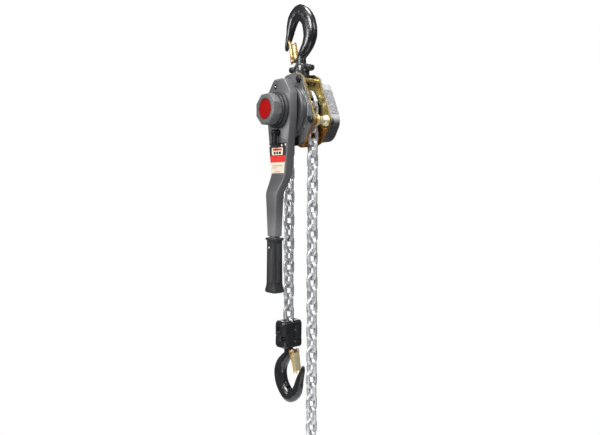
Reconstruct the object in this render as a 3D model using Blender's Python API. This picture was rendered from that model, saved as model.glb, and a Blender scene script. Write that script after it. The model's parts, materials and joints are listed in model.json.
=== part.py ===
"""Lever chain hoist, three-tonne class, built as an assembly of separate parts.

X is the main axis: the lever and handwheel are at -X and the gear cover at +X.
The free strand of chain hangs at -Y and the load strand at +Y. The origin is the
point of the top hook that bears on whatever the hoist hangs from.
"""
import math

import bmesh
import bpy
from mathutils import Matrix, Vector
from mathutils.geometry import interpolate_bezier

MM = 0.001
GAP = 0.3 * MM                      # clearance between neighbouring pieces
RUNNING = 0.3 * MM                  # radial clearance of a shaft in its bore
THROUGH = 2 * MM                    # how far a cutter reaches past the wall it cuts
ROUND = 20                          # points round a large round piece
KNOB_ROUND = 16                     # points round the octagonal handwheel
BOLT_ROUND = 12                     # points round a bolt that carries a hexagon
SMALL_ROUND = 8                     # points round a pin or a small shaft

# ---- Overall layout ----
SEAT_TO_AXIS = 230 * MM             # top hook's bearing point above the main axis
PLATE_SPACING = 45 * MM             # between the inner faces of the side plates
PLATE_THICKNESS = 5 * MM
FRAME_TOP = 95 * MM
FRAME_SHOULDER_HEIGHT = 83 * MM
FRAME_SHOULDER = 38 * MM            # half width at the shoulders
FRAME_HALF_WIDTH = 85 * MM
FRAME_WAIST_DROP = 24.5 * MM
FRAME_BOTTOM = 84 * MM
FRAME_FOOT = 30 * MM                # half width of the flat foot
FRAME_FOOT_CORNER = (47 * MM, 77 * MM)
FRAME_CORNER = 9 * MM

# ---- Chain ----
CHAIN_PITCH = 30 * MM
CHAIN_BAR = 10 * MM                 # diameter of the link's bar
CHAIN_SPREAD = 11.5 * MM            # link axis to the middle of each side bar
LINK_LAP = 0.3 * MM                 # joined links run into each other by this much
STRAND_SIDES = 4                    # facets round the bar of a strand's links
CROWN_STEPS = 4                     # facets round each end of a link
WRAP_BAR = 11 * MM                  # bar of the links joined round the sheave
POCKETS = 5
FIXED_LINKS = 3                     # links of each strand that stay with the frame
LOAD_LINKS = 13                     # links between the hinged link and the load block
FREE_LINKS = 34
END_RING = 17 * MM
END_RING_BAR = 8 * MM

# ---- Stays, pins and rollers of the frame ----
TOP_STAY = (28 * MM, 77 * MM)
SIDE_STAY = (74.5 * MM, -25 * MM)
STAY_RADIUS = 4.5 * MM
STAY_NUT_FLATS = 15 * MM
STAY_NUT_HEIGHT = 7 * MM
HOOK_PIN = (0.0, 78 * MM)
HOOK_PIN_RADIUS = 6.5 * MM
ROLLER_FLANGE = 14 * MM
ROLLER_WAIST = 10 * MM
ROLLER_HALF_LENGTH = 17 * MM
STRIPPER_HALF_WIDTH = 20 * MM

# ---- Covers ----
COVER_SKIN = 2.5 * MM
COVER_INSET = 1.5 * MM              # the covers' flanges stop this far inside the plates
DOME_RADIUS = 62 * MM
DOME_DEPTH = 19 * MM
DOME_OPENING = 36 * MM
GEAR_CASE_DEPTH = 40 * MM
GEAR_CASE_TOP = 76 * MM
GEAR_CASE_TOP_HALF = 33 * MM
GEAR_CASE_HALF_WIDTH = 77 * MM
GEAR_CASE_BOTTOM = 72 * MM
CASE_CORNER = 12 * MM
NUT_NOTCH = 10.5 * MM               # radius of the notches round the stay nuts
NUT_NOTCH_DEPTH = 10 * MM

# ---- Drive shaft, sheave and gears ----
SHAFT_RADIUS = 7.5 * MM
SHEAVE_JOURNAL = 20 * MM
SHEAVE_RADIUS = 52 * MM
SHEAVE_HALF_WIDTH = 21 * MM
SHEAVE_GROOVE = 30 * MM
BEARING_RADIUS = 26 * MM
GEAR_MODULE = 1.75 * MM
PINION_TEETH = 10
WHEEL_TEETH = 33
TOOTH_PLAY = 0.22                   # share of a tooth's pitch thickness taken off
GEAR_FACE = 10 * MM
STUB_RADIUS = 15 * MM
REDUCTION_SHAFT = 5 * MM

# ---- Brake ----
BRAKE_HUB = 13 * MM
DISC_RADIUS = 34 * MM
HUB_FLANGE = 36 * MM
FRICTION_THICKNESS = 2.5 * MM
RATCHET_TEETH = 20
RATCHET_TIP = 41 * MM
RATCHET_ROOT = 37 * MM
RATCHET_THICKNESS = 4.5 * MM
PAWL_RADIUS = 50 * MM               # main axis to each pawl's pivot
PAWL_LEAD = 30                      # degrees from the pivot to the pawl's tip
PAWL_PIN = 3 * MM
PAWL_RIDE = 0.5 * MM                # gap from the pawl's tip to the ratchet's crest
CHANGE_TEETH = 12
CHANGE_TIP = 27 * MM
CHANGE_ROOT = 22 * MM

# ---- Handwheel ----
KNOB_FLATS = 72 * MM
KNOB_FACE = 113 * MM                # distance of the knob's face from the mid-plane
KNOB_LENGTH = 25 * MM
KNOB_STEP_RADIUS = 39 * MM
KNOB_FLANGE = 44 * MM
INSERT_RADIUS = 24 * MM
INSERT_THICKNESS = 2.4 * MM

# ---- Lever ----
LEVER_BACK = 49 * MM
LEVER_DEPTH = 23 * MM
LEVER_WALL = 3 * MM
LEVER_OFFSET = 21.5 * MM            # sideways step of the lower lever
LEVER_TOP = 75 * MM
LEVER_BEND_START = 155 * MM
LEVER_BEND_END = 200 * MM
LEVER_NECK = 305 * MM               # where the tang starts, below the main axis
TANG_END = 425 * MM
GRIP_TOP = 308 * MM
GRIP_LENGTH = 134 * MM
SELECTOR_DROP = 54.5 * MM           # main axis to the selector's shaft
SELECTOR_SHAFT = 5 * MM
SELECTOR_ARM = 31 * MM
SELECTOR_REACH = 30 * MM            # selector's shaft to its pawl's tips

# ---- Hooks, yokes and load block ----
HOOK_TURN = -85                     # degrees that both hooks are turned about +Z
HOOK_SIDES = 8
NECK_RADIUS = 11 * MM
COLLAR_RADIUS = 16 * MM
COLLAR_HEIGHT = 8 * MM
LATCH_PIN_RADIUS = 2.5 * MM
LATCH_HALF_WIDTH = 13 * MM
LATCH_SHEET = 2 * MM
LATCH_LENGTH = 53 * MM
LATCH_TILT = 11.0                   # lean of the closed latch from the hook's long axis, in degrees
BOWL_HALF = 16 * MM                 # half thickness of the load hook under its seat
TOP_HOOK_EXTRA = 3.5 * MM           # how much more the top hook's bowl has
SEAT_CUT = 1 * MM                   # depth of the flat seat below the crest of the bowl
YOKE_TOP = 119 * MM
YOKE_HALF_WIDTH = 38 * MM
YOKE_HUB = 20.5 * MM                # radius of the round hub that holds the hook's collar
YOKE_EAR = 9 * MM                   # half thickness of the ears beside the hub
YOKE_BOLT = (30 * MM, 108 * MM)
YOKE_BOLT_RADIUS = 5 * MM
YOKE_BOLT_FLATS = 15 * MM
YOKE_BOLT_HEAD = 5 * MM
BLOCK_HALF_LENGTH = 30.5 * MM
BLOCK_HALF_WIDTH = 20 * MM
BLOCK_TOP = 526 * MM                # below the main axis
BLOCK_BOTTOM = 596 * MM
LOAD_SEAT = 707 * MM                # below the main axis
CHAIN_PIN_RADIUS = 5.5 * MM
BLOCK_BOLT_RADIUS = 3 * MM
BLOCK_BOLT_FLATS = 9 * MM
BLOCK_BOLT_HEAD = 3.5 * MM
BLOCK_BOLT_SINK = 5 * MM            # depth of the sockets that hide the bolts' heads
BLOCK_CORNER = 9 * MM

# ---- Places that follow from the sizes above ----
AXIS = Vector((0.0, 0.0, -SEAT_TO_AXIS))
PLATE_INNER = PLATE_SPACING / 2
PLATE_OUTER = PLATE_INNER + PLATE_THICKNESS
COVER_FACE = PLATE_OUTER + GAP      # inner face of both covers' flanges
NUT_FACE = COVER_FACE + COVER_SKIN + GAP
LEVER_FACE = LEVER_BACK + LEVER_DEPTH
LINK_HALF = CHAIN_PITCH / 2 + CHAIN_BAR / 2
POCKET_STEP = math.pi / POCKETS
# Two links that meet at the angle of one pocket step put their bars one bar apart.
FLAT_LINK_RADIUS = 44.54 * MM
UPRIGHT_LINK_RADIUS = 47.79 * MM
WHEEL_DISTANCE = GEAR_MODULE * (PINION_TEETH + WHEEL_TEETH) / 2
CHAIN_PIN_Z = -(BLOCK_TOP + 23 * MM)


# ---------------------------------------------------------------- shape helpers
def mirrored(half):
    """Close a half outline given from top to bottom on the +Y side."""
    other = [(-y, z) for y, z in reversed(half) if abs(y) > 1e-9]
    return half + other


def ring(radius, count=ROUND, centre=(0.0, 0.0), turn=0.0):
    """Points of a circle, anticlockwise from the +Y direction."""
    angles = [turn + 2 * math.pi * step / count for step in range(count)]
    return [(centre[0] + radius * math.cos(a), centre[1] + radius * math.sin(a)) for a in angles]


def clearing(radius, count, gap=RUNNING):
    """Corner radius of a polygonal bore whose flats clear a round piece."""
    return (radius + gap) / math.cos(math.pi / count)


def flats_ring(across, sides, count, centre=(0.0, 0.0)):
    """Points on a regular polygon with the given size across its flats."""
    points = []
    for step in range(count):
        angle = 2 * math.pi * step / count
        within = angle % (2 * math.pi / sides) - math.pi / sides
        radius = across / 2 / math.cos(within)
        points.append((centre[0] + radius * math.cos(angle), centre[1] + radius * math.sin(angle)))
    return points


def inset(points, distance):
    """Move every edge of a convex outline inwards by the given distance."""
    count = len(points)
    area = sum(points[i][0] * points[(i + 1) % count][1] - points[(i + 1) % count][0] * points[i][1]
               for i in range(count))
    side = 1 if area > 0 else -1
    lines = []
    for index in range(count):
        start = Vector(points[index])
        along = (Vector(points[(index + 1) % count]) - start).normalized()
        inward = Vector((-along.y, along.x)) * side
        lines.append((start + inward * distance, along))
    result = []
    for index in range(count):
        point, along = lines[index]
        before, direction = lines[index - 1]
        offset = point - before
        reach = offset.cross(along) / direction.cross(along)
        result.append(tuple(before + direction * reach))
    return result


def rounded(points, radius, steps=1):
    """Round every corner of a convex outline with a short arc."""
    result = []
    for index, corner in enumerate(points):
        corner = Vector(corner)
        back = (Vector(points[index - 1]) - corner).normalized()
        ahead = (Vector(points[(index + 1) % len(points)]) - corner).normalized()
        half = back.angle(ahead) / 2
        centre = corner + (back + ahead).normalized() * radius / math.sin(half)
        start = (corner + back * radius / math.tan(half) - centre).normalized()
        end = (corner + ahead * radius / math.tan(half) - centre).normalized()
        for step in range(steps + 1):
            result.append(tuple(centre + start.slerp(end, step / steps) * radius))
    return result


def to_mesh(shape):
    """Finish a bmesh: merge doubles, point its faces out and turn it into a mesh."""
    bmesh.ops.remove_doubles(shape, verts=shape.verts, dist=1e-7)
    bmesh.ops.recalc_face_normals(shape, faces=shape.faces)
    mesh = bpy.data.meshes.new("shape")
    shape.to_mesh(mesh)
    shape.free()
    return mesh


def lofted(rings, closed=False):
    """Skin equal rings of 3-D points, capping both ends unless the loft is closed."""
    shape = bmesh.new()
    rows = [[shape.verts.new(point) for point in points] for points in rings]
    count = len(rows[0])
    pairs = list(zip(rows, rows[1:]))
    if closed:
        pairs.append((rows[-1], rows[0]))
    for lower, upper in pairs:
        for index in range(count):
            after = (index + 1) % count
            shape.faces.new((lower[index], lower[after], upper[after], upper[index]))
    if not closed:
        shape.faces.new(rows[0])
        shape.faces.new(rows[-1])
    return to_mesh(shape)


def stepped(sections):
    """Loft (x, outline) sections along X."""
    return lofted([[(x, y, z) for y, z in outline] for x, outline in sections])


def turned(profile, segments=ROUND):
    """Spin a closed (x, radius) profile about X."""
    rings = []
    for step in range(segments):
        angle = 2 * math.pi * step / segments
        rings.append([(x, r * math.cos(angle), r * math.sin(angle)) for x, r in profile])
    return lofted(rings, closed=True)


def slab(outline, low, high, holes=()):
    """Extrude a (y, z) outline with round holes from x = low to x = high."""
    shape = bmesh.new()
    for loop in [outline, *holes]:
        corners = [shape.verts.new((low, y, z)) for y, z in loop]
        for index, corner in enumerate(corners):
            shape.edges.new((corner, corners[(index + 1) % len(corners)]))
    bmesh.ops.triangle_fill(shape, use_beauty=True, edges=shape.edges[:])
    made = bmesh.ops.extrude_face_region(shape, geom=shape.faces[:])
    moved = [item for item in made["geom"] if isinstance(item, bmesh.types.BMVert)]
    bmesh.ops.translate(shape, verts=moved, vec=(high - low, 0, 0))
    return to_mesh(shape)


def rod(radius, low, high, centre=(0.0, 0.0), count=SMALL_ROUND):
    """Solid cylinder along X."""
    return stepped([(low, ring(radius, count, centre)), (high, ring(radius, count, centre))])


def tube(inner, outer, low, high, segments=ROUND):
    """Plain ring about X."""
    return turned([(low, inner), (low, outer), (high, outer), (high, inner)], segments)


def block(low, high):
    """Box between two corners."""
    xs, ys, zs = zip(low, high)
    outline = [(ys[0], zs[0]), (ys[1], zs[0]), (ys[1], zs[1]), (ys[0], zs[1])]
    return stepped([(xs[0], outline), (xs[1], outline)])


def merged(meshes):
    """Put several meshes into one without joining their solids."""
    shape = bmesh.new()
    for mesh in meshes:
        shape.from_mesh(mesh)
    mesh = bpy.data.meshes.new("shape")
    shape.to_mesh(mesh)
    shape.free()
    return mesh


def moved(mesh, matrix):
    """Transformed copy of a mesh."""
    copy = mesh.copy()
    copy.transform(matrix)
    return copy


def combine(operation, base, tools):
    """Apply exact Booleans of the tool meshes to the base mesh, in turn."""
    collection = bpy.context.scene.collection
    body = bpy.data.objects.new("body", base)
    collection.objects.link(body)
    helpers = []
    for tool in tools:
        helper = bpy.data.objects.new("tool", tool)
        collection.objects.link(helper)
        modifier = body.modifiers.new("combine", 'BOOLEAN')
        modifier.operation = operation
        modifier.solver = 'EXACT'
        modifier.object = helper
        helpers.append(helper)
    evaluated = body.evaluated_get(bpy.context.evaluated_depsgraph_get())
    result = bpy.data.meshes.new_from_object(evaluated)
    for helper in [*helpers, body]:
        bpy.data.objects.remove(helper)
    return result


def cut(base, *tools):
    """Base mesh less the tool meshes."""
    return combine('DIFFERENCE', base, tools)


def join(base, *tools):
    """Base mesh joined with the tool meshes, which overlap it."""
    return combine('UNION', base, tools)


TO_Z = Matrix.Rotation(math.radians(-90), 4, 'Y')    # turns a shape made along X to run along +Z
QUARTER_ABOUT_Z = Matrix.Rotation(math.radians(90), 4, 'Z')
FLIP_X = Matrix.Scale(-1, 4, (1, 0, 0))


def mirrored_mesh(mesh, matrix):
    """Mirrored copy of a mesh with its faces still pointing out."""
    copy = moved(mesh, matrix)
    copy.flip_normals()
    return copy


# ---------------------------------------------------------------- finishes and placing
FINISHES = {
    "forged_black": ((0.016, 0.016, 0.018), 0.28, 0.0),
    "cover_grey": ((0.085, 0.087, 0.092), 0.42, 0.3),
    "gold_zinc": ((0.72, 0.52, 0.18), 0.32, 0.9),
    "bright_zinc": ((0.62, 0.63, 0.65), 0.3, 1.0),
    "black_oxide": ((0.02, 0.02, 0.022), 0.4, 0.6),
    "steel": ((0.42, 0.42, 0.43), 0.35, 1.0),
    "bronze": ((0.55, 0.36, 0.16), 0.4, 1.0),
    "friction_lining": ((0.16, 0.11, 0.08), 0.85, 0.0),
    "rubber": ((0.022, 0.022, 0.024), 0.62, 0.0),
    "red_plastic": ((0.55, 0.006, 0.01), 0.35, 0.0),
    "brass": ((0.80, 0.62, 0.28), 0.3, 0.9),
}
SHARP_ANGLE = math.radians(35)
joint_places = {}


def joint_axis(name, place, parent=None, twist=0.0):
    """Empty on a joint's axis; place is in the assembly's own coordinates."""
    empty = bpy.data.objects.new(name, None)
    empty.empty_display_size = 10 * MM
    bpy.context.scene.collection.objects.link(empty)
    world = Matrix.Translation(place) @ Matrix.Rotation(math.radians(twist), 4, 'Z')
    joint_places[name] = world
    empty.parent = parent
    local = joint_places[parent.name].inverted() @ world if parent else world
    empty.location = local.to_translation()
    empty.rotation_euler = local.to_euler()
    return empty


def piece(name, mesh, finish, parent):
    """Named object with its own material, on its parent's joint axis."""
    colour, roughness, metallic = FINISHES[finish]
    material = bpy.data.materials.new(name)
    material.use_nodes = True
    shader = material.node_tree.nodes["Principled BSDF"]
    shader.inputs["Base Color"].default_value = (*colour, 1.0)
    shader.inputs["Roughness"].default_value = roughness
    shader.inputs["Metallic"].default_value = metallic
    mesh.name = name
    mesh.materials.clear()
    mesh.materials.append(material)
    mesh.shade_smooth()
    mesh.set_sharp_from_angle(angle=SHARP_ANGLE)
    thing = bpy.data.objects.new(name, mesh)
    bpy.context.scene.collection.objects.link(thing)
    thing.parent = parent
    return thing


# ---------------------------------------------------------------- chain
def link(bar, half, sides, upright):
    """One chain link about its own centre, long axis Z, in the YZ plane when upright."""
    centres = []
    crown = half - CHAIN_SPREAD
    for end in (1, -1):
        for step in range(CROWN_STEPS + 1):
            angle = math.pi * step / CROWN_STEPS
            outward = Vector((0, math.cos(angle), math.sin(angle))) * end
            centres.append((Vector((0, 0, crown * end)) + outward * CHAIN_SPREAD, outward))
    rings = []
    for centre, outward in centres:
        points = []
        for side in range(sides):
            angle = math.pi + 2 * math.pi * side / sides
            spoke = outward * math.cos(angle) + Vector((1, 0, 0)) * math.sin(angle)
            points.append(centre + spoke * bar / 2)
        rings.append(points)
    mesh = lofted(rings, closed=True)
    if not upright:
        mesh.transform(QUARTER_ABOUT_Z)
    return mesh


def joined_links(places, bar, sides, half):
    """Union of neighbouring links; places are (matrix, upright) in order along the chain."""
    made = [moved(link(bar, half, sides, upright), matrix) for matrix, upright in places]
    return join(merged(made[0::2]), merged(made[1::2]))


def strand(first, count, origin, side):
    """Run of joined links of a hanging strand, relative to the origin's height."""
    places = []
    for index in range(first, first + count):
        height = Matrix.Translation((0, 0, -index * CHAIN_PITCH - origin))
        places.append((height, strand_upright(index, side)))
    half = (CHAIN_PITCH - LINK_LAP) / 2 + CHAIN_BAR / 2
    return joined_links(places, CHAIN_BAR, STRAND_SIDES, half)


def strand_upright(index, side):
    """Whether a hanging link lies in the YZ plane, counted down from the sheave."""
    return index % 2 == (1 if side < 0 else 0)


HINGED_HALF = LINK_HALF + 0.55 * MM     # a link that hangs with clearance at both ends
LINK_CONTACT = (FIXED_LINKS + 0.5) * CHAIN_PITCH + CHAIN_BAR / 2
SECOND_CONTACT = LINK_CONTACT + CHAIN_PITCH
BLOCK_LINK = FIXED_LINKS + 1 + LOAD_LINKS + 1
BLOCK_CONTACT = (BLOCK_LINK - 0.5) * CHAIN_PITCH + CHAIN_BAR / 2


def wrapped_chain():
    """Links round the sheave and the fixed links of both strands, about the main axis."""
    places = []
    for index in range(FIXED_LINKS, 0, -1):
        offset = Matrix.Translation((0, -FLAT_LINK_RADIUS, -index * CHAIN_PITCH))
        places.append((offset, strand_upright(index, -1)))
    for step in range(POCKETS + 1):
        upright = step % 2 == 1
        radius = UPRIGHT_LINK_RADIUS if upright else FLAT_LINK_RADIUS
        turn = Matrix.Rotation(-POCKET_STEP * step, 4, 'X')
        places.append((turn @ Matrix.Translation((0, -radius, 0)), upright))
    for index in range(1, FIXED_LINKS + 1):
        offset = Matrix.Translation((0, UPRIGHT_LINK_RADIUS, -index * CHAIN_PITCH))
        places.append((offset, strand_upright(index, 1)))
    return joined_links(places, WRAP_BAR, 6, LINK_HALF)


def end_ring():
    """Round stop ring for the chain's last link, in the YZ plane."""
    bar = END_RING_BAR / 2
    profile = [(bar * math.cos(angle), END_RING + bar * math.sin(angle))
               for angle in (2 * math.pi * side / 6 for side in range(6))]
    return turned(profile, 16)


# ---------------------------------------------------------------- frame
def frame_outline():
    """Side plate's outline in Y and Z, a rounded shield."""
    half = [(0.0, FRAME_TOP), (25 * MM, FRAME_TOP - 3 * MM), (FRAME_SHOULDER, FRAME_SHOULDER_HEIGHT),
            (FRAME_HALF_WIDTH, -FRAME_WAIST_DROP), (FRAME_FOOT_CORNER[0], -FRAME_FOOT_CORNER[1]),
            (FRAME_FOOT, -FRAME_BOTTOM)]
    return mirrored(half)


def stay_places():
    """Name and (y, z) of the four stays."""
    return {
        "top_front": (-TOP_STAY[0], TOP_STAY[1]),
        "top_rear": TOP_STAY,
        "side_front": (-SIDE_STAY[0], SIDE_STAY[1]),
        "side_rear": SIDE_STAY,
    }


def pawl_places():
    """Angle of each brake pawl's pivot, in degrees anticlockwise from +Y seen from +X."""
    return {"upper": 90 - PAWL_LEAD - 20, "lower": 270 - PAWL_LEAD - 20}


def at_angle(radius, degrees):
    """Point at a radius and an angle from +Y towards +Z."""
    return (radius * math.cos(math.radians(degrees)), radius * math.sin(math.radians(degrees)))


def side_plate(side):
    """Side plate with its bearing seat and holes; side is -1 at the lever, +1 at the gears."""
    holes = [ring(BEARING_RADIUS + GAP)]
    holes += [ring(STAY_RADIUS + GAP, BOLT_ROUND, place) for place in stay_places().values()]
    holes.append(ring(HOOK_PIN_RADIUS + GAP, SMALL_ROUND, HOOK_PIN))
    if side > 0:
        size = clearing(REDUCTION_SHAFT, SMALL_ROUND)
        holes += [ring(size, SMALL_ROUND, place) for place in reduction_places().values()]
    else:
        pins = [at_angle(PAWL_RADIUS, angle) for angle in pawl_places().values()]
        holes += [ring(PAWL_PIN + GAP, SMALL_ROUND, place) for place in pins]
    low, high = sorted((side * PLATE_INNER, side * PLATE_OUTER))
    return slab(rounded(frame_outline(), FRAME_CORNER), low, high, holes)


def brake_cover():
    """Pressed cover: a flange under the stay nuts and a round dome over the brake."""
    flange = rounded(inset(frame_outline(), COVER_INSET), FRAME_CORNER)
    holes = [ring(STAY_RADIUS + GAP, BOLT_ROUND, place) for place in stay_places().values()]
    holes.append(ring(DOME_RADIUS - COVER_SKIN / 2))
    base = slab(flange, -COVER_FACE - COVER_SKIN, -COVER_FACE, holes)
    end = COVER_FACE + DOME_DEPTH
    shoulder = 5 * MM
    inner = DOME_RADIUS - COVER_SKIN
    dome = turned([(-COVER_FACE - COVER_SKIN / 2, inner), (-COVER_FACE - COVER_SKIN / 2, DOME_RADIUS),
                   (shoulder - end, DOME_RADIUS),
                   (-end, DOME_RADIUS - shoulder), (-end, DOME_OPENING), (COVER_SKIN - end, DOME_OPENING),
                   (COVER_SKIN - end, inner - shoulder), (COVER_SKIN + shoulder - end, inner)])
    return join(base, dome)


def gear_case_outline():
    """Outline of the raised gear case."""
    half = [(GEAR_CASE_TOP_HALF, GEAR_CASE_TOP), (GEAR_CASE_HALF_WIDTH, -24 * MM),
            (58 * MM, -GEAR_CASE_BOTTOM + 10 * MM), (FRAME_FOOT, -GEAR_CASE_BOTTOM)]
    return mirrored(half)


def gear_cover():
    """Deep cover over the gears, notched round the stay nuts and bossed for the shafts."""
    high = COVER_FACE + GEAR_CASE_DEPTH
    stays = stay_places().values()
    notch_to = COVER_FACE + COVER_SKIN + NUT_NOTCH_DEPTH
    notches = [rod(NUT_NOTCH, COVER_FACE - THROUGH, notch_to, place) for place in stays]
    case = slab(rounded(gear_case_outline(), CASE_CORNER, 2), COVER_FACE + COVER_SKIN / 2, high)
    flange = slab(rounded(inset(frame_outline(), COVER_INSET), FRAME_CORNER), COVER_FACE,
                  COVER_FACE + COVER_SKIN, [ring(STAY_RADIUS + GAP, BOLT_ROUND, place) for place in stays])
    outer = join(flange, cut(case, merged(notches)))
    inner_outline = rounded(inset(gear_case_outline(), COVER_SKIN), CASE_CORNER - COVER_SKIN, 2)
    cavity = slab(inner_outline, COVER_FACE - THROUGH, high - COVER_SKIN)
    walls = [rod(NUT_NOTCH + COVER_SKIN, COVER_FACE - 2 * THROUGH, notch_to + COVER_SKIN, place)
             for place in stays]
    shell = cut(outer, cut(cavity, merged(walls)))
    boss_face = high - 10 * MM
    places = [(0.0, 0.0), *reduction_places().values()]
    bosses = [rod(REDUCTION_SHAFT + 4 * MM, boss_face, high - COVER_SKIN / 2, place) for place in places]
    socket = clearing(REDUCTION_SHAFT, SMALL_ROUND)
    sockets = [rod(socket, boss_face - THROUGH, high - COVER_SKIN * 1.5, place) for place in places]
    return cut(join(shell, merged(bosses)), merged(sockets))


def stay_bolt(centre):
    """Stay with a nut outside each cover."""
    end = NUT_FACE + STAY_NUT_HEIGHT
    shank = ring(STAY_RADIUS, BOLT_ROUND, centre)
    nut = flats_ring(STAY_NUT_FLATS, 6, BOLT_ROUND, centre)
    half = [(NUT_FACE, shank), (NUT_FACE, nut), (end, nut)]
    other = [(-x, outline) for x, outline in reversed(half)]
    return stepped(other + half)


def guide_roller():
    """Grooved roller that keeps a strand off the plates."""
    end = ROLLER_HALF_LENGTH
    bore = STAY_RADIUS + RUNNING
    rim = 6 * MM
    return turned([(-end, bore), (-end, ROLLER_FLANGE - 1 * MM), (-end + 1 * MM, ROLLER_FLANGE),
                   (-end + rim - 2 * MM, ROLLER_FLANGE), (-end + 2 * rim - 2 * MM, ROLLER_WAIST),
                   (end - 2 * rim + 2 * MM, ROLLER_WAIST), (end - rim + 2 * MM, ROLLER_FLANGE),
                   (end - 1 * MM, ROLLER_FLANGE), (end, ROLLER_FLANGE - 1 * MM), (end, bore)], BOLT_ROUND)


def chain_stripper():
    """Bracket between the plates whose finger lifts links out of the groove."""
    width = PLATE_INNER - GAP
    foot = -FRAME_BOTTOM + 4 * MM
    crest = -SHEAVE_RADIUS - 5 * MM
    base = [(-STRIPPER_HALF_WIDTH, foot), (STRIPPER_HALF_WIDTH, foot),
            (STRIPPER_HALF_WIDTH - 5 * MM, crest), (5 * MM - STRIPPER_HALF_WIDTH, crest)]
    finger = [(-8 * MM, crest - 4 * MM), (8 * MM, crest - 4 * MM),
              (5 * MM, -SHEAVE_GROOVE - 5 * MM), (-5 * MM, -SHEAVE_GROOVE - 5 * MM)]
    return join(slab(base, -width, width), slab(finger, -4 * MM, 4 * MM))


def sheave_bearing(side):
    """Bush pressed in a side plate, with a lip on its inner face."""
    low, high = sorted((side * (SHEAVE_HALF_WIDTH + GAP), side * PLATE_OUTER))
    return tube(SHEAVE_JOURNAL + RUNNING, BEARING_RADIUS, low, high)


# ---------------------------------------------------------------- gears, sheave and shaft
def reduction_places():
    """Centres of the two reduction gears, above and below the main axis."""
    return {"upper": (0.0, WHEEL_DISTANCE), "lower": (0.0, -WHEEL_DISTANCE)}


def gear_outline(teeth, phase):
    """Tooth outline with a tooth centred at the phase angle, in radians."""
    pitch = GEAR_MODULE * teeth / 2
    tip = pitch + GEAR_MODULE
    root = pitch - 1.3 * GEAR_MODULE
    pitch_angle = 2 * math.pi / teeth
    thickness = pitch_angle / 2 * (1 - TOOTH_PLAY)
    lean = math.tan(math.radians(20)) * GEAR_MODULE / pitch
    half_tip = thickness / 2 - lean
    half_root = min(thickness / 2 + 1.3 * lean, pitch_angle * 0.36)
    points = []
    for tooth in range(teeth):
        middle = phase + tooth * pitch_angle
        for angle, radius in ((-half_root, root), (-half_tip, tip), (half_tip, tip), (half_root, root)):
            points.append((radius * math.cos(middle + angle), radius * math.sin(middle + angle)))
    return points


def load_sheave():
    """Pocket sheave with hollow journals and the stub that carries the load gear."""
    journal = PLATE_OUTER
    stub_end = journal + 3.5 * MM + GEAR_FACE + 1.2 * MM
    bore = SHAFT_RADIUS + RUNNING
    gear_side = journal + 3 * MM
    body = turned([(-journal, bore), (-journal, SHEAVE_JOURNAL), (-SHEAVE_HALF_WIDTH, SHEAVE_JOURNAL),
                   (-SHEAVE_HALF_WIDTH, SHEAVE_RADIUS), (SHEAVE_HALF_WIDTH, SHEAVE_RADIUS),
                   (SHEAVE_HALF_WIDTH, SHEAVE_JOURNAL), (gear_side, SHEAVE_JOURNAL),
                   (gear_side, STUB_RADIUS), (stub_end, STUB_RADIUS), (stub_end, bore)])
    groove = WRAP_BAR / 2 + 0.8 * MM
    cutters = [tube(SHEAVE_GROOVE, SHEAVE_RADIUS + THROUGH, -groove, groove)]
    half_width = CHAIN_SPREAD + WRAP_BAR / 2 + 0.6 * MM
    half_length = LINK_HALF + WRAP_BAR / 2 + 0.3 * MM
    floor = FLAT_LINK_RADIUS - WRAP_BAR / 2 - GAP
    pockets = []
    for index in range(POCKETS):
        turn = Matrix.Rotation(-2 * POCKET_STEP * index, 4, 'X')
        pocket = block((-half_width, -SHEAVE_RADIUS - THROUGH, -half_length), (half_width, -floor, half_length))
        pockets.append(moved(pocket, turn))
    return cut(body, *cutters, *pockets)


def load_gear():
    """Wheel fixed on the sheave's stub."""
    low = PLATE_OUTER + 3.5 * MM
    return slab(gear_outline(WHEEL_TEETH, math.pi / 2), low, low + GEAR_FACE, [ring(STUB_RADIUS + GAP)])


def reduction_gear(side):
    """Compound gear on its shaft; side is +1 above the main axis and -1 below it."""
    first = PLATE_OUTER + 3.5 * MM
    second = first + GEAR_FACE + 2 * MM
    root = GEAR_MODULE * PINION_TEETH / 2 - 1.3 * GEAR_MODULE
    shaft = rod(REDUCTION_SHAFT, PLATE_INNER + 1 * MM, COVER_FACE + GEAR_CASE_DEPTH - 5 * MM)
    mesh_down = -math.pi / 2 * side
    half_tooth = math.pi / PINION_TEETH
    # The load gear has a tooth at +Z and, with an odd count, a gap at -Z.
    phase = mesh_down + (half_tooth if side > 0 else 0.0)
    pinion = slab(gear_outline(PINION_TEETH, phase), first - 2 * MM, second + 1 * MM)
    wheel = slab(gear_outline(WHEEL_TEETH, mesh_down + math.pi / WHEEL_TEETH), second,
                 second + GEAR_FACE - 2 * MM)
    hub = rod(root, first - 3 * MM, second + GEAR_FACE, count=SMALL_ROUND)
    return join(shaft, hub, pinion, wheel)


def drive_shaft():
    """Shaft through the sheave, with the pinion at its right end and a thread at its left."""
    first = PLATE_OUTER + 3.5 * MM + GEAR_FACE + 2 * MM
    nose = COVER_FACE + GEAR_CASE_DEPTH - 5 * MM
    knob_bore = KNOB_FACE - 16 * MM
    thread, journal, end = (ring(size, SMALL_ROUND) for size in (6 * MM, SHAFT_RADIUS, REDUCTION_SHAFT))
    shaft = stepped([(-knob_bore - 10 * MM, thread), (-knob_bore, thread), (-knob_bore, journal),
                     (first - 0.4 * MM, journal), (first - 0.4 * MM, end), (nose, end)])
    # Its even count puts a tooth at +Z and at -Z, where both wheels have a gap.
    pinion = slab(gear_outline(PINION_TEETH, math.pi / 2), first - 0.4 * MM, first + GEAR_FACE - 1 * MM)
    return join(shaft, pinion)


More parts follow.
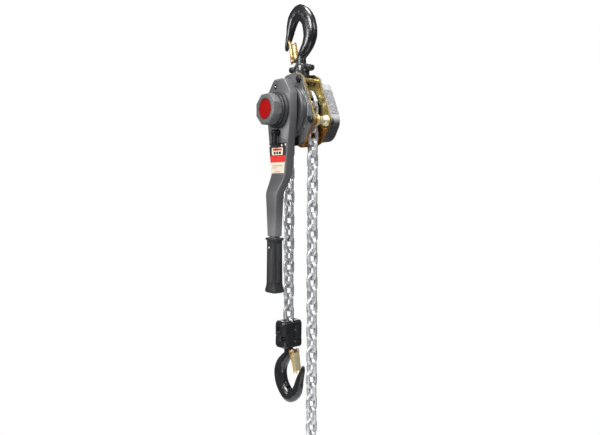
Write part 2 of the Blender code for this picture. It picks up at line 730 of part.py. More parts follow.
# ---------------------------------------------------------------- brake and handwheel
HUB_FACE = PLATE_OUTER + 2 * MM
LINING_INNER = HUB_FACE + 4 * MM + GAP
RATCHET_FACE = LINING_INNER + FRICTION_THICKNESS + GAP
LINING_OUTER = RATCHET_FACE + RATCHET_THICKNESS + GAP
CHANGE_FACE = LINING_OUTER + FRICTION_THICKNESS + GAP


def brake_hub():
    """Flanged hub fixed on the drive shaft."""
    bore = SHAFT_RADIUS + GAP
    nose = -(CHANGE_FACE - GAP)
    flange = -(HUB_FACE + 4 * MM)
    return turned([(nose, bore), (nose, BRAKE_HUB), (flange, BRAKE_HUB), (flange, HUB_FLANGE),
                   (-HUB_FACE, HUB_FLANGE), (-HUB_FACE, bore)])


def friction_disc(face):
    """Lining ring on either side of the ratchet disc."""
    return tube(BRAKE_HUB + GAP, DISC_RADIUS, -face - FRICTION_THICKNESS, -face)


def ratchet_disc():
    """Saw-toothed disc that the pawls hold against the load."""
    points = []
    for tooth in range(RATCHET_TEETH):
        angle = 360 / RATCHET_TEETH * tooth
        points.append(at_angle(RATCHET_ROOT, angle))
        points.append(at_angle(RATCHET_TIP, angle))
    return slab(points, -RATCHET_FACE - RATCHET_THICKNESS, -RATCHET_FACE, [ring(BRAKE_HUB + RUNNING)])


def brake_pawl(name):
    """Pawl about its own pivot, drawn as it rides over the crest of a ratchet tooth."""
    angle = pawl_places()[name]
    pivot = Vector(at_angle(PAWL_RADIUS, angle))
    step = 360 / RATCHET_TEETH
    tooth = math.floor((angle + PAWL_LEAD) / step) * step
    face = tooth - 0.6
    tip_low = Vector(at_angle(RATCHET_TIP + PAWL_RIDE, face))
    tip_high = Vector(at_angle(RATCHET_TIP + PAWL_RIDE + 2.5 * MM, face))
    belly = Vector(at_angle(RATCHET_TIP + PAWL_RIDE + 1.8 * MM, tooth - step))
    eye = 6 * MM
    inward = -pivot.normalized()
    around = Vector((inward.y, -inward.x))
    outline = [tip_low - pivot, belly - pivot]
    outline += [inward * eye, (inward - around).normalized() * eye, -around * eye,
                (-inward - around).normalized() * eye, -inward * eye]
    outline.append(tip_high - pivot)
    outline = [tuple(point) for point in outline]
    return slab(outline, -RATCHET_FACE - RATCHET_THICKNESS, -RATCHET_FACE,
                [ring(clearing(PAWL_PIN, SMALL_ROUND), SMALL_ROUND)])


def change_gear():
    """Threaded gear that clamps the brake; the lever's pawl drives its teeth."""
    bore = SHAFT_RADIUS + RUNNING
    flange = -(CHANGE_FACE + 3 * MM)
    neck = -(LEVER_BACK + 5 * MM)
    teeth_end = -(LEVER_FACE - LEVER_WALL - 2.5 * MM)
    body = turned([(teeth_end, bore), (teeth_end, 20 * MM), (flange, 20 * MM), (flange, DISC_RADIUS),
                   (-CHANGE_FACE, DISC_RADIUS), (-CHANGE_FACE, bore)])
    points = []
    pitch = 360 / CHANGE_TEETH
    for tooth in range(CHANGE_TEETH):
        middle = -90 + tooth * pitch
        for angle, radius in ((-7, CHANGE_ROOT), (-4, CHANGE_TIP), (4, CHANGE_TIP), (7, CHANGE_ROOT)):
            points.append(at_angle(radius, middle + angle))
    teeth = slab(points, teeth_end + 0.5 * MM, neck, [ring(18 * MM)])
    return join(body, teeth)


def freewheel_spring():
    """Coil between the change gear and the handwheel."""
    low = -(KNOB_FACE - KNOB_LENGTH - 14 * MM - 1.5 * MM)
    high = -(LEVER_FACE - LEVER_WALL - 2.5 * MM) - 1.5 * MM
    wire = 0.9 * MM
    turns = 2
    steps = 10 * turns
    radius = 12 * MM
    rings = []
    for step in range(steps + 1):
        angle = 2 * math.pi * turns * step / steps
        x = low + (high - low) * step / steps
        outward = Vector((0, math.cos(angle), math.sin(angle)))
        centre = Vector((x, 0, 0)) + outward * radius
        points = []
        for side in range(4):
            spoke = 2 * math.pi * side / 4
            points.append(centre + (outward * math.cos(spoke) + Vector((1, 0, 0)) * math.sin(spoke)) * wire)
        rings.append(points)
    return lofted(rings)


def handwheel():
    """Octagonal knob on a stepped round flange, recessed for its nut and insert."""
    octagon = flats_ring(KNOB_FLATS, 8, KNOB_ROUND)
    small = flats_ring(KNOB_FLATS - 5 * MM, 8, KNOB_ROUND)
    middle = ring(KNOB_STEP_RADIUS, KNOB_ROUND)
    rim = ring(KNOB_FLANGE, KNOB_ROUND)
    back = KNOB_FACE - KNOB_LENGTH
    step = back - 6.5 * MM
    flange = step - 7.5 * MM
    solid = stepped([(-KNOB_FACE, small), (-KNOB_FACE + 1.5 * MM, octagon), (-back, octagon),
                     (-back, middle), (-step, middle), (-step, rim), (-flange, rim)])
    seat = rod(INSERT_RADIUS + 1.2 * MM, -KNOB_FACE - THROUGH, -KNOB_FACE + 3 * MM, count=KNOB_ROUND)
    well = rod(15 * MM, -KNOB_FACE, -KNOB_FACE + 16 * MM)
    bore = rod(SHAFT_RADIUS + GAP, -KNOB_FACE, -flange + THROUGH)
    return cut(solid, seat, well, bore)


def handwheel_nut():
    """Nut that holds the handwheel on the shaft's thread."""
    seat = KNOB_FACE - 16 * MM
    nut = flats_ring(22 * MM, 6, BOLT_ROUND)
    return slab(nut, -seat - 9 * MM, -seat - GAP, [ring(6 * MM + GAP, SMALL_ROUND)])


def handwheel_insert():
    """Round insert that closes the knob's recess."""
    face = KNOB_FACE - 3 * MM + GAP
    return rod(INSERT_RADIUS, -face - INSERT_THICKNESS, -face, count=KNOB_ROUND)


# ---------------------------------------------------------------- lever
def lever_section(z, half_width, front, back, corner=3 * MM):
    """Cross-section of the lever at a height, a rectangle with cut corners."""
    outline = [(-front, half_width - corner), (-front, corner - half_width),
               (corner - front, -half_width), (-back - corner, -half_width),
               (-back, corner - half_width), (-back, half_width - corner),
               (-back - corner, half_width), (corner - front, half_width)]
    return [(x, y, z) for x, y in outline]


def lever_arm():
    """Pressed lever, hollow behind the change gear and stepped outwards above the grip."""
    out = LEVER_FACE + LEVER_OFFSET
    stations = [(LEVER_TOP, 20), (40 * MM, 46), (-20 * MM, 46), (-45 * MM, 42.5), (-108 * MM, 34),
                (-LEVER_BEND_START, 28)]
    rings = [lever_section(z, half * MM, LEVER_FACE, LEVER_BACK) for z, half in stations]
    for z, half in ((-LEVER_BEND_END, 23), (-290 * MM, 16), (-LEVER_NECK, 15)):
        rings.append(lever_section(z, half * MM, out, out - LEVER_OFFSET))
    for z, half in ((-LEVER_NECK, 12), (-TANG_END, 10.5)):
        rings.append(lever_section(z, half * MM, out - 3 * MM, out - LEVER_OFFSET + 3 * MM))
    shell = lofted(rings)
    wall = LEVER_WALL
    hollow = []
    for z, half in ((LEVER_TOP - wall, 16), (40 * MM, 46 - 3.2), (-20 * MM, 46 - 3.2), (-45 * MM, 42.5 - 3.2),
                    (-100 * MM, 32)):
        hollow.append(lever_section(z, half * MM, LEVER_FACE - wall, LEVER_BACK - THROUGH))
    hub = rod(22 * MM, -LEVER_FACE - THROUGH, -LEVER_FACE + wall + THROUGH, count=ROUND)
    shaft = rod(clearing(SELECTOR_SHAFT, SMALL_ROUND), -LEVER_FACE - THROUGH, -LEVER_FACE + wall + THROUGH,
                (0.0, -SELECTOR_DROP))
    return cut(shell, lofted(hollow), hub, shaft)


def lever_back_cover():
    """Flat cover behind the lever's hollow."""
    half = [(16 * MM - GAP, LEVER_TOP - LEVER_WALL - GAP), (42 * MM, 40 * MM), (42 * MM, -20 * MM),
            (38.5 * MM, -45 * MM), (31 * MM, -100 * MM + GAP)]
    outline = inset(mirrored(half), 3 * MM)
    return slab(outline, -LEVER_BACK - 2.5 * MM, -LEVER_BACK, [ring(20 * MM + 1 * MM)])


def lever_grip():
    """Rubber sleeve over the lever's tang, flared at both ends."""
    centre = LEVER_FACE + LEVER_OFFSET / 2
    top = GRIP_TOP
    end = GRIP_TOP + GRIP_LENGTH
    sections = [(top, 19.5, 16), (top + 5 * MM, 19.5, 16), (top + 9 * MM, 16.5, 13.5), (end - 24 * MM, 17, 14),
                (end - 7 * MM, 20, 16.5), (end, 17, 14)]
    rings = [lever_section(-z, half * MM, centre + deep * MM, centre - deep * MM, 5 * MM)
             for z, half, deep in sections]
    pocket = [lever_section(-z, half * MM, LEVER_FACE + LEVER_OFFSET - 3 * MM + GAP, LEVER_FACE + 3 * MM - GAP)
              for z, half in ((top - THROUGH, 12.4), (TANG_END + 1 * MM, 11))]
    return cut(lofted(rings), lofted(pocket))


def selector_knob():
    """Selector arm outside the lever, on the shaft of its pawl; about the shaft's axis."""
    inner = -(LEVER_FACE - LEVER_WALL - 1.5 * MM)
    face = -(LEVER_FACE + GAP)
    outer = face - 20 * MM
    shaft = rod(SELECTOR_SHAFT, face - 2 * MM, inner + 10 * MM)
    boss = stepped([(outer, ring(4 * MM)), (outer + 3 * MM, ring(8 * MM)), (face, ring(9 * MM))])
    arm = [(7 * MM, 0.0), (6.5 * MM, -SELECTOR_ARM + 3 * MM), (4 * MM, -SELECTOR_ARM),
           (-4 * MM, -SELECTOR_ARM), (-6.5 * MM, -SELECTOR_ARM + 3 * MM), (-7 * MM, 0.0)]
    return join(boss, shaft, slab(arm, outer + 4 * MM, outer + 13 * MM))


def selector_pawl():
    """Two-ended pawl on the selector's shaft; clear of the gear at rest."""
    outline = [at_angle(8 * MM, 215), at_angle(8 * MM, 250), at_angle(8 * MM, 290), at_angle(8 * MM, 325),
               (10 * MM, 4 * MM), at_angle(SELECTOR_REACH, 51), at_angle(SELECTOR_REACH, 59),
               (0.0, 10 * MM), at_angle(SELECTOR_REACH, 121), at_angle(SELECTOR_REACH, 129), (-10 * MM, 4 * MM)]
    front = -(LEVER_FACE - LEVER_WALL - 2 * MM)
    return slab(outline, front, front + 7 * MM, [ring(SELECTOR_SHAFT + GAP, SMALL_ROUND)])


# ---------------------------------------------------------------- hooks
LATCH_PIVOT = (21 * MM, 100 * MM)


def hook_point(u, w):
    """Point of a hook's plane; u runs towards the tip and w from the seat to the shank."""
    return Vector((u, 0.0, w + SEAT_CUT))


def hook_stations(extra):
    """Hook's (u, w, half width in its plane, half thickness), from the neck to the tip."""
    bowl = BOWL_HALF + extra
    more = extra / MM
    lengths = [(-12, 78, 13, 13), (-25, 60, 16, 14), (-30, 36, 17.5 + more / 2, 14.5),
               (-21, 7 - more, 17.5 + more / 2, 14.5), (4, -bowl / MM, bowl / MM, 14.5),
               (26, -6 - more, 14.5 + more / 2, 13), (36, 11 - more / 2, 12 + more / 4, 11.5), (41, 28, 10, 10),
               (47, 45, 8, 8), (52, 58, 6, 6), (53.5, 66, 4, 4.5)]
    neck = [(0.0, 103 * MM, NECK_RADIUS, NECK_RADIUS), (-1 * MM, 91 * MM, NECK_RADIUS, NECK_RADIUS)]
    return neck + [tuple(value * MM for value in station) for station in lengths]


def hook_mesh(extra, shank_top):
    """Forged hook about its seat: u is +X, w is +Z, with collar, latch lug and flat seat."""
    spine = hook_stations(extra)
    rings = []
    centres = [hook_point(u, w) for u, w, a, b in spine]
    dense = [(Vector((0.0, 0.0, shank_top)), spine[0][2], spine[0][3])]
    for index in range(len(centres) - 1):
        before = centres[max(index - 1, 0)]
        after = centres[min(index + 2, len(centres) - 1)]
        start, end = centres[index], centres[index + 1]
        handle_a = start + (end - before) / 6
        handle_b = end - (after - start) / 6
        points = interpolate_bezier(start, handle_a, handle_b, end, 3)
        for step, point in enumerate(points[:-1]):
            share = step / 2
            first, second = spine[index], spine[index + 1]
            dense.append((point, first[2] + (second[2] - first[2]) * share,
                          first[3] + (second[3] - first[3]) * share))
    dense.append((centres[-1], spine[-1][2], spine[-1][3]))
    for index, (centre, radial, normal) in enumerate(dense):
        before = dense[max(index - 1, 0)][0]
        after = dense[min(index + 1, len(dense) - 1)][0]
        along = (after - before).normalized()
        outward = Vector((along.z, 0, -along.x))
        points = []
        for side in range(HOOK_SIDES):
            angle = 2 * math.pi * side / HOOK_SIDES
            points.append(centre + outward * math.cos(angle) * radial
                          + Vector((0, 1, 0)) * math.sin(angle) * normal)
        rings.append(points)
    body = lofted(rings)
    collar = moved(rod(COLLAR_RADIUS, shank_top - COLLAR_HEIGHT, shank_top + 1 * MM, count=BOLT_ROUND), TO_Z)
    pivot = (LATCH_PIVOT[0], hook_point(*LATCH_PIVOT).z)
    lug_radius = 4.5 * MM
    lug = [(4 * MM, pivot[1] - lug_radius), (pivot[0], pivot[1] - lug_radius),
           (pivot[0] + lug_radius * 0.7, pivot[1] - lug_radius * 0.7), (pivot[0] + lug_radius, pivot[1]),
           (pivot[0] + lug_radius * 0.7, pivot[1] + lug_radius * 0.7), (pivot[0], pivot[1] + lug_radius),
           (4 * MM, pivot[1] + lug_radius)]
    width = LATCH_HALF_WIDTH - LATCH_SHEET - 1 * MM
    lug_mesh = moved(slab(lug, -width, width), PLANE_TO_HOOK)
    hole = moved(rod(LATCH_PIN_RADIUS + GAP, -width - THROUGH, width + THROUGH, pivot), PLANE_TO_HOOK)
    seat = block((-8 * MM, -4 * MM, 0.0), (8 * MM, 4 * MM, 9 * MM))
    return cut(join(body, collar, lug_mesh), hole, seat)


# Takes a slab drawn in (y, z) as (u, w) and extruded along x to the hook's plane.
PLANE_TO_HOOK = Matrix(((0, 1, 0, 0), (-1, 0, 0, 0), (0, 0, 1, 0), (0, 0, 0, 1)))


def latch_mesh():
    """Latch about its pin: a channel of sheet that closes the throat, pointing down -w."""
    half = LATCH_HALF_WIDTH
    web = [(5 * MM, 0 * MM), (5 * MM + LATCH_SHEET, 0 * MM), (5 * MM + LATCH_SHEET, -LATCH_LENGTH),
           (5 * MM, -LATCH_LENGTH)]
    ear = [(5 * MM + LATCH_SHEET / 2, 3 * MM), (0.0, 5 * MM), (-4.5 * MM, 0.0), (-3 * MM, -8 * MM),
           (1 * MM, -LATCH_LENGTH), (5 * MM + LATCH_SHEET / 2, -LATCH_LENGTH)]
    hole = [ring(clearing(LATCH_PIN_RADIUS, SMALL_ROUND), SMALL_ROUND)]
    near = slab(ear, -half, LATCH_SHEET - half, hole)
    far = slab(ear, half - LATCH_SHEET, half, hole)
    return moved(join(slab(web, -half, half), near, far), PLANE_TO_HOOK)


def latch_pin():
    """Pin through the hook's lug and the latch's ears, about its own axis."""
    end = LATCH_HALF_WIDTH + 2 * MM
    head = [(-end, ring(4 * MM, SMALL_ROUND)), (1.7 * MM - end, ring(4 * MM, SMALL_ROUND)),
            (1.7 * MM - end, ring(LATCH_PIN_RADIUS, SMALL_ROUND)),
            (end - 1.7 * MM, ring(LATCH_PIN_RADIUS, SMALL_ROUND)),
            (end - 1.7 * MM, ring(4 * MM, SMALL_ROUND)), (end, ring(4 * MM, SMALL_ROUND))]
    return moved(stepped(head), PLANE_TO_HOOK)


# ---------------------------------------------------------------- yokes and load block
def swivel_seat(collar_low, collar_high, neck_low, neck_high):
    """Cutters for a hook's collar and for its neck, about Z."""
    collar = rod(clearing(COLLAR_RADIUS, BOLT_ROUND), collar_low, collar_high, count=BOLT_ROUND)
    neck = rod(clearing(NECK_RADIUS, BOLT_ROUND, 2 * GAP), neck_low - 2 * MM, neck_high + 2 * MM, count=BOLT_ROUND)
    return [moved(collar, TO_Z), moved(neck, TO_Z)]


def top_yoke_half(side):
    """Half of the top yoke about the hook pin's height; side is -1 or +1."""
    top = YOKE_TOP - HOOK_PIN[1]
    half = [(26 * MM, top), (YOKE_HALF_WIDTH, top - 6 * MM), (YOKE_HALF_WIDTH, top - 16 * MM),
            (28 * MM, top - 22 * MM), (16 * MM, top - 24 * MM), (15 * MM, -6 * MM), (9 * MM, -13 * MM)]
    holes = [ring(clearing(HOOK_PIN_RADIUS, SMALL_ROUND), SMALL_ROUND)]
    for y in (-YOKE_BOLT[0], YOKE_BOLT[0]):
        holes.append(ring(YOKE_BOLT_RADIUS + GAP, BOLT_ROUND, (y, YOKE_BOLT[1] - HOOK_PIN[1])))
    low, high = sorted((side * GAP / 2, side * YOKE_EAR))
    low_hub = -13 * MM
    hub = moved(rod(YOKE_HUB, low_hub, top, count=BOLT_ROUND), TO_Z)
    reach = YOKE_HUB + THROUGH
    inner, outer = sorted((side * GAP / 2, -side * reach))
    other_half = block((inner, -reach, low_hub - THROUGH), (outer, reach, top + THROUGH))
    pin_bore = rod(clearing(HOOK_PIN_RADIUS, SMALL_ROUND), -reach, reach)
    solid = join(slab(mirrored(half), low, high, holes), cut(hub, other_half, pin_bore))
    collar_top = YOKE_TOP - 6 * MM - HOOK_PIN[1]
    return cut(solid, *swivel_seat(collar_top - COLLAR_HEIGHT - 2.5 * MM, collar_top, collar_top, top + THROUGH))


def yoke_bolt(half_length, radius, flats, head, place):
    """Bolt with a head at one end and a nut at the other, along X."""
    shank = ring(radius, BOLT_ROUND, place)
    nut = flats_ring(flats, 6, BOLT_ROUND, place)
    seat = half_length + GAP
    half = [(seat, shank), (seat, nut), (seat + head, nut)]
    other = [(-x, outline) for x, outline in reversed(half)]
    return stepped(other + half)


def load_yoke_half(side):
    """Half of the load block about the main axis; side is -1 or +1."""
    half_width = BLOCK_HALF_WIDTH
    outline = rounded([(-half_width, -BLOCK_TOP), (half_width, -BLOCK_TOP), (half_width, -BLOCK_BOTTOM),
                       (-half_width, -BLOCK_BOTTOM)], BLOCK_CORNER, 2)
    inner = GAP / 2
    shoulder = BLOCK_HALF_LENGTH - 4 * MM
    small = inset(outline, 2.5 * MM)
    solid = stepped([(inner, outline), (shoulder, outline), (BLOCK_HALF_LENGTH, small)])
    slot = link_slot()
    pin = rod(CHAIN_PIN_RADIUS + GAP, -THROUGH, 20 * MM, (0.0, CHAIN_PIN_Z))
    socket = rod(11 * MM, BLOCK_HALF_LENGTH - 5 * MM, BLOCK_HALF_LENGTH + THROUGH, (0.0, CHAIN_PIN_Z), BOLT_ROUND)
    bolts = [rod(BLOCK_BOLT_RADIUS + GAP, -THROUGH, BLOCK_HALF_LENGTH + THROUGH, place, BOLT_ROUND)
             for place in block_bolts()]
    sink = BLOCK_HALF_LENGTH - BLOCK_BOLT_SINK
    bolts += [rod(BLOCK_BOLT_FLATS / 2 + 2 * MM, sink, BLOCK_HALF_LENGTH + THROUGH, place, BOLT_ROUND)
              for place in block_bolts()]
    collar_top = -(BLOCK_BOTTOM - 19 * MM)
    collar_low = collar_top - COLLAR_HEIGHT - 2.5 * MM
    seat = swivel_seat(collar_low, collar_top, -BLOCK_BOTTOM - THROUGH, collar_low)
    shanks, sockets = merged(bolts[:2]), merged(bolts[2:])
    half = cut(solid, slot, pin, socket, shanks, sockets, *seat)
    return half if side > 0 else mirrored_mesh(half, FLIP_X)


def link_slot():
    """Cross-shaped slot for the end link and the link above it, about the main axis."""
    play = 0.9 * MM
    bottom = -(BLOCK_LINK * CHAIN_PITCH + LINK_HALF + CHAIN_BAR / 2 + 2 * play)
    thin = CHAIN_BAR / 2 + play
    wide = CHAIN_SPREAD + CHAIN_BAR / 2 + play
    upright = block((-thin, -wide, bottom), (thin, wide, -BLOCK_TOP + THROUGH))
    above = -(BLOCK_LINK - 1) * CHAIN_PITCH - LINK_HALF - CHAIN_BAR / 2 - 2 * play
    flat = block((-wide, -thin - play, above), (wide, thin + play, -BLOCK_TOP + THROUGH))
    return join(upright, flat)


def block_bolts():
    """Places of the load block's bolts, in the block's own Y."""
    return [(-14.5 * MM, -BLOCK_BOTTOM + 26 * MM), (14.5 * MM, -BLOCK_BOTTOM + 26 * MM)]


# ---------------------------------------------------------------- assembly
def clear_scene():
    """Remove whatever the scene holds."""
    for thing in list(bpy.data.objects):
        bpy.data.objects.remove(thing)


def build_top_hook():
    """Top hook, latch and yoke; returns the frame's joint axis."""
    hook_axis = joint_axis("top_hook_axis", (0, 0, 0), twist=HOOK_TURN)
    shank_top = SEAT_TO_AXIS - YOKE_TOP + 6 * MM + GAP + COLLAR_HEIGHT
    # Turned over, the hook's u points to -X and its w down, until the twist takes u to +Y.
    to_row = Matrix.Rotation(math.radians(180), 4, 'Y')
    hook = moved(hook_mesh(TOP_HOOK_EXTRA, shank_top), to_row)
    piece("top_hook", hook, "forged_black", hook_axis)
    pivot = to_row @ hook_point(*LATCH_PIVOT)
    place = Matrix.Rotation(math.radians(HOOK_TURN), 4, 'Z') @ pivot
    latch_axis = joint_axis("top_latch_axis", place, hook_axis, HOOK_TURN)
    tilt = Matrix.Rotation(math.radians(-LATCH_TILT), 4, 'Y')
    piece("top_latch", moved(latch_mesh(), to_row @ tilt), "brass", latch_axis)
    piece("top_latch_pin", moved(latch_pin(), to_row), "brass", latch_axis)

    swivel = joint_axis("top_yoke_axis", AXIS + Vector((0, 0, HOOK_PIN[1])), hook_axis)
    for side, name in ((-1, "left"), (1, "right")):
        piece("top_yoke_" + name, top_yoke_half(side), "forged_black", swivel)
    for y, name in ((-YOKE_BOLT[0], "front"), (YOKE_BOLT[0], "rear")):
        bolt = yoke_bolt(YOKE_EAR, YOKE_BOLT_RADIUS, YOKE_BOLT_FLATS, YOKE_BOLT_HEAD,
                         (y, YOKE_BOLT[1] - HOOK_PIN[1]))
        piece("top_yoke_bolt_" + name, bolt, "black_oxide", swivel)
    return swivel


def build_frame(swivel):
    """Side plates, covers, stays and what is fixed between the plates."""
    axis = joint_axis("main_axis", AXIS, swivel)
    piece("left_side_plate", side_plate(-1), "gold_zinc", axis)
    piece("right_side_plate", side_plate(1), "gold_zinc", axis)
    piece("brake_cover", brake_cover(), "cover_grey", axis)
    piece("gear_cover", gear_cover(), "cover_grey", axis)
    for name, place in stay_places().items():
        piece("stay_bolt_" + name, stay_bolt(place), "black_oxide", axis)
    piece("top_hook_pin", rod(HOOK_PIN_RADIUS, -PLATE_OUTER, PLATE_OUTER, HOOK_PIN), "steel", axis)
    piece("sheave_bearing_left", sheave_bearing(-1), "bronze", axis)
    piece("sheave_bearing_right", sheave_bearing(1), "bronze", axis)
    piece("chain_stripper", chain_stripper(), "gold_zinc", axis)
    for name, angle in pawl_places().items():
        pin = rod(PAWL_PIN, -RATCHET_FACE - RATCHET_THICKNESS - 1.5 * MM, -PLATE_INNER,
                  at_angle(PAWL_RADIUS, angle))
        piece("pawl_pin_" + name, pin, "steel", axis)
    piece("chain_on_sheave", wrapped_chain(), "bright_zinc", axis)
    for side, name in ((-1, "front"), (1, "rear")):
        place = AXIS + Vector((0, side * SIDE_STAY[0], SIDE_STAY[1]))
        roller_axis = joint_axis("guide_roller_axis_" + name, place, axis)
        piece("guide_roller_" + name, guide_roller(), "gold_zinc", roller_axis)
    for name, angle in pawl_places().items():
        place = AXIS + Vector((0, *at_angle(PAWL_RADIUS, angle)))
        pawl_axis = joint_axis("brake_pawl_axis_" + name, place, axis)
        piece("brake_pawl_" + name, brake_pawl(name), "steel", pawl_axis)
    return axis


def build_drive(axis):
    """Shaft, brake, handwheel, gears and sheave."""
    piece("drive_shaft", drive_shaft(), "steel", axis)
    piece("brake_hub", brake_hub(), "steel", axis)
    piece("friction_disc_inner", friction_disc(LINING_INNER), "friction_lining", axis)
    piece("friction_disc_outer", friction_disc(LINING_OUTER), "friction_lining", axis)
    piece("ratchet_disc", ratchet_disc(), "steel", axis)
    piece("change_gear", change_gear(), "steel", axis)
    piece("freewheel_spring", freewheel_spring(), "steel", axis)
    piece("handwheel", handwheel(), "cover_grey", axis)
    piece("handwheel_nut", handwheel_nut(), "black_oxide", axis)
    piece("handwheel_insert", handwheel_insert(), "red_plastic", axis)
    piece("load_sheave", load_sheave(), "black_oxide", axis)
    piece("load_gear", load_gear(), "steel", axis)
    for name, place in reduction_places().items():
        gear_axis = joint_axis("reduction_axis_" + name, AXIS + Vector((0, *place)), axis)
        side = 1 if name == "upper" else -1
        piece("reduction_gear_" + name, reduction_gear(side), "steel", gear_axis)


def build_lever(axis):
    """Lever with its cover, grip and selector."""
    piece("lever_arm", lever_arm(), "cover_grey", axis)
    piece("lever_back_cover", lever_back_cover(), "cover_grey", axis)
    piece("lever_grip", lever_grip(), "rubber", axis)
    selector_axis = joint_axis("selector_axis", AXIS - Vector((0, 0, SELECTOR_DROP)), axis)
    piece("selector_knob", selector_knob(), "black_oxide", selector_axis)
    piece("selector_pawl", selector_pawl(), "steel", selector_axis)


def build_free_strand(axis):
    """Hinged link, run and end ring of the free strand."""
    place = AXIS + Vector((0, -FLAT_LINK_RADIUS, -LINK_CONTACT))
    first = joint_axis("free_link_axis", place, axis)
    single = link(CHAIN_BAR, HINGED_HALF, 6, strand_upright(FIXED_LINKS + 1, -1))
    drop = LINK_CONTACT - (FIXED_LINKS + 1) * CHAIN_PITCH
    piece("free_chain_link", moved(single, Matrix.Translation((0, 0, drop))), "bright_zinc", first)
    place = AXIS + Vector((0, -FLAT_LINK_RADIUS, -SECOND_CONTACT))
    run = joint_axis("free_chain_axis", place, first)
    piece("free_chain", strand(FIXED_LINKS + 2, FREE_LINKS, -SECOND_CONTACT, -1), "bright_zinc", run)
    last = (FIXED_LINKS + 1 + FREE_LINKS) * CHAIN_PITCH
    ring_centre = -last - (CHAIN_PITCH - LINK_LAP) / 2 + GAP - END_RING + END_RING_BAR / 2 + SECOND_CONTACT
    piece("chain_end_ring", moved(end_ring(), Matrix.Translation((0, 0, ring_centre))), "bright_zinc", run)


def build_load_strand(axis):
    """Hinged link and run of the load strand, with the load block and load hook."""
    y = UPRIGHT_LINK_RADIUS
    first = joint_axis("load_link_axis", AXIS + Vector((0, y, -LINK_CONTACT)), axis)
    single = link(CHAIN_BAR, HINGED_HALF, 6, strand_upright(FIXED_LINKS + 1, 1))
    drop = LINK_CONTACT - (FIXED_LINKS + 1) * CHAIN_PITCH
    piece("load_chain_link", moved(single, Matrix.Translation((0, 0, drop))), "bright_zinc", first)
    run = joint_axis("load_chain_axis", AXIS + Vector((0, y, -SECOND_CONTACT)), first)
    piece("load_chain", strand(FIXED_LINKS + 2, LOAD_LINKS, -SECOND_CONTACT, 1), "bright_zinc", run)

    pivot = joint_axis("load_block_axis", AXIS + Vector((0, y, -BLOCK_CONTACT)), run)
    lift = Matrix.Translation((0, 0, BLOCK_CONTACT))
    end_link = link(CHAIN_BAR, HINGED_HALF, 6, strand_upright(BLOCK_LINK, 1))
    end_drop = Matrix.Translation((0, 0, BLOCK_CONTACT - BLOCK_LINK * CHAIN_PITCH))
    piece("load_end_link", moved(end_link, end_drop), "bright_zinc", pivot)
    pin = rod(CHAIN_PIN_RADIUS, -19.5 * MM, 19.5 * MM, (0.0, CHAIN_PIN_Z))
    piece("chain_pin", moved(pin, lift), "steel", pivot)
    for side, name in ((-1, "left"), (1, "right")):
        piece("load_yoke_" + name, moved(load_yoke_half(side), lift), "forged_black", pivot)
    for place, name in zip(block_bolts(), ("front", "rear")):
        bolt = yoke_bolt(BLOCK_HALF_LENGTH - BLOCK_BOLT_SINK, BLOCK_BOLT_RADIUS, BLOCK_BOLT_FLATS,
                         BLOCK_BOLT_HEAD, place)
        piece("load_yoke_bolt_" + name, moved(bolt, lift), "black_oxide", pivot)

    hook_axis = joint_axis("load_hook_axis", AXIS + Vector((0, y, -LOAD_SEAT)), pivot, HOOK_TURN)
    shank_top = LOAD_SEAT - BLOCK_BOTTOM + 19 * MM - GAP - 1 * MM
    piece("load_hook", hook_mesh(0.0, shank_top), "forged_black", hook_axis)
    turn = Matrix.Rotation(math.radians(HOOK_TURN), 4, 'Z')
    place = joint_places["load_hook_axis"].to_translation() + turn @ hook_point(*LATCH_PIVOT)
    latch_axis = joint_axis("load_latch_axis", place, hook_axis, HOOK_TURN)
    tilt = Matrix.Rotation(math.radians(-LATCH_TILT), 4, 'Y')
    piece("load_latch", moved(latch_mesh(), tilt), "brass", latch_axis)
    piece("load_latch_pin", latch_pin(), "brass", latch_axis)


def main():
    """Build the whole hoist."""
    clear_scene()
    swivel = build_top_hook()
    axis = build_frame(swivel)
    build_drive(axis)
    build_lever(axis)
    build_free_strand(axis)
    build_load_strand(axis)


main()
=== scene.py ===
import json
import math

import bmesh
import bpy
from mathutils import Matrix, Vector


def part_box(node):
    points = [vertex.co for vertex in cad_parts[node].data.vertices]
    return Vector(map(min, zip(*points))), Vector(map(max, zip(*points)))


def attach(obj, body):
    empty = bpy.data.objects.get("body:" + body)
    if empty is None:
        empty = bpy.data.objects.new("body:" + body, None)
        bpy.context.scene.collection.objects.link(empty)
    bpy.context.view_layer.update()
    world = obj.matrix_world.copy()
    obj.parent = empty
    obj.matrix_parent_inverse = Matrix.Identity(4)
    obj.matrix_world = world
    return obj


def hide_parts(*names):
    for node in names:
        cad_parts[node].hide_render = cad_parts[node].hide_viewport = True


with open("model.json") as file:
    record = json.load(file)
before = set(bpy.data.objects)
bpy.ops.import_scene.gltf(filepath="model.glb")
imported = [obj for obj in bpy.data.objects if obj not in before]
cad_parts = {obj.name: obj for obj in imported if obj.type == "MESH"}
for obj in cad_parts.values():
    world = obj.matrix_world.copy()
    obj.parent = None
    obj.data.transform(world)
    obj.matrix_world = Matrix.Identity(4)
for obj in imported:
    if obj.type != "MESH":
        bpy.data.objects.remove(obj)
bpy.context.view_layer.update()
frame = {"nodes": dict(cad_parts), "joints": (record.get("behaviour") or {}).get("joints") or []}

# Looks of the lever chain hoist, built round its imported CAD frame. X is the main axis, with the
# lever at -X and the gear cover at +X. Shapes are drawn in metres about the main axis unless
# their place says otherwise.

MM = 0.001
FINE = 64                           # points round a large round piece
MEDIUM = 32
SMALL = 20
SLIVER = 0.1 * MM                   # chamfer of a cutter
TO_Z = Matrix.Rotation(math.radians(-90), 4, 'Y')
SWAP = Matrix(((0, 1, 0, 0), (-1, 0, 0, 0), (0, 0, 1, 0), (0, 0, 0, 1)))


def joint_place(name):
    """Point on a joint's axis."""
    return Vector(next(joint["pos_m"] for joint in frame["joints"] if joint["name"] == name))


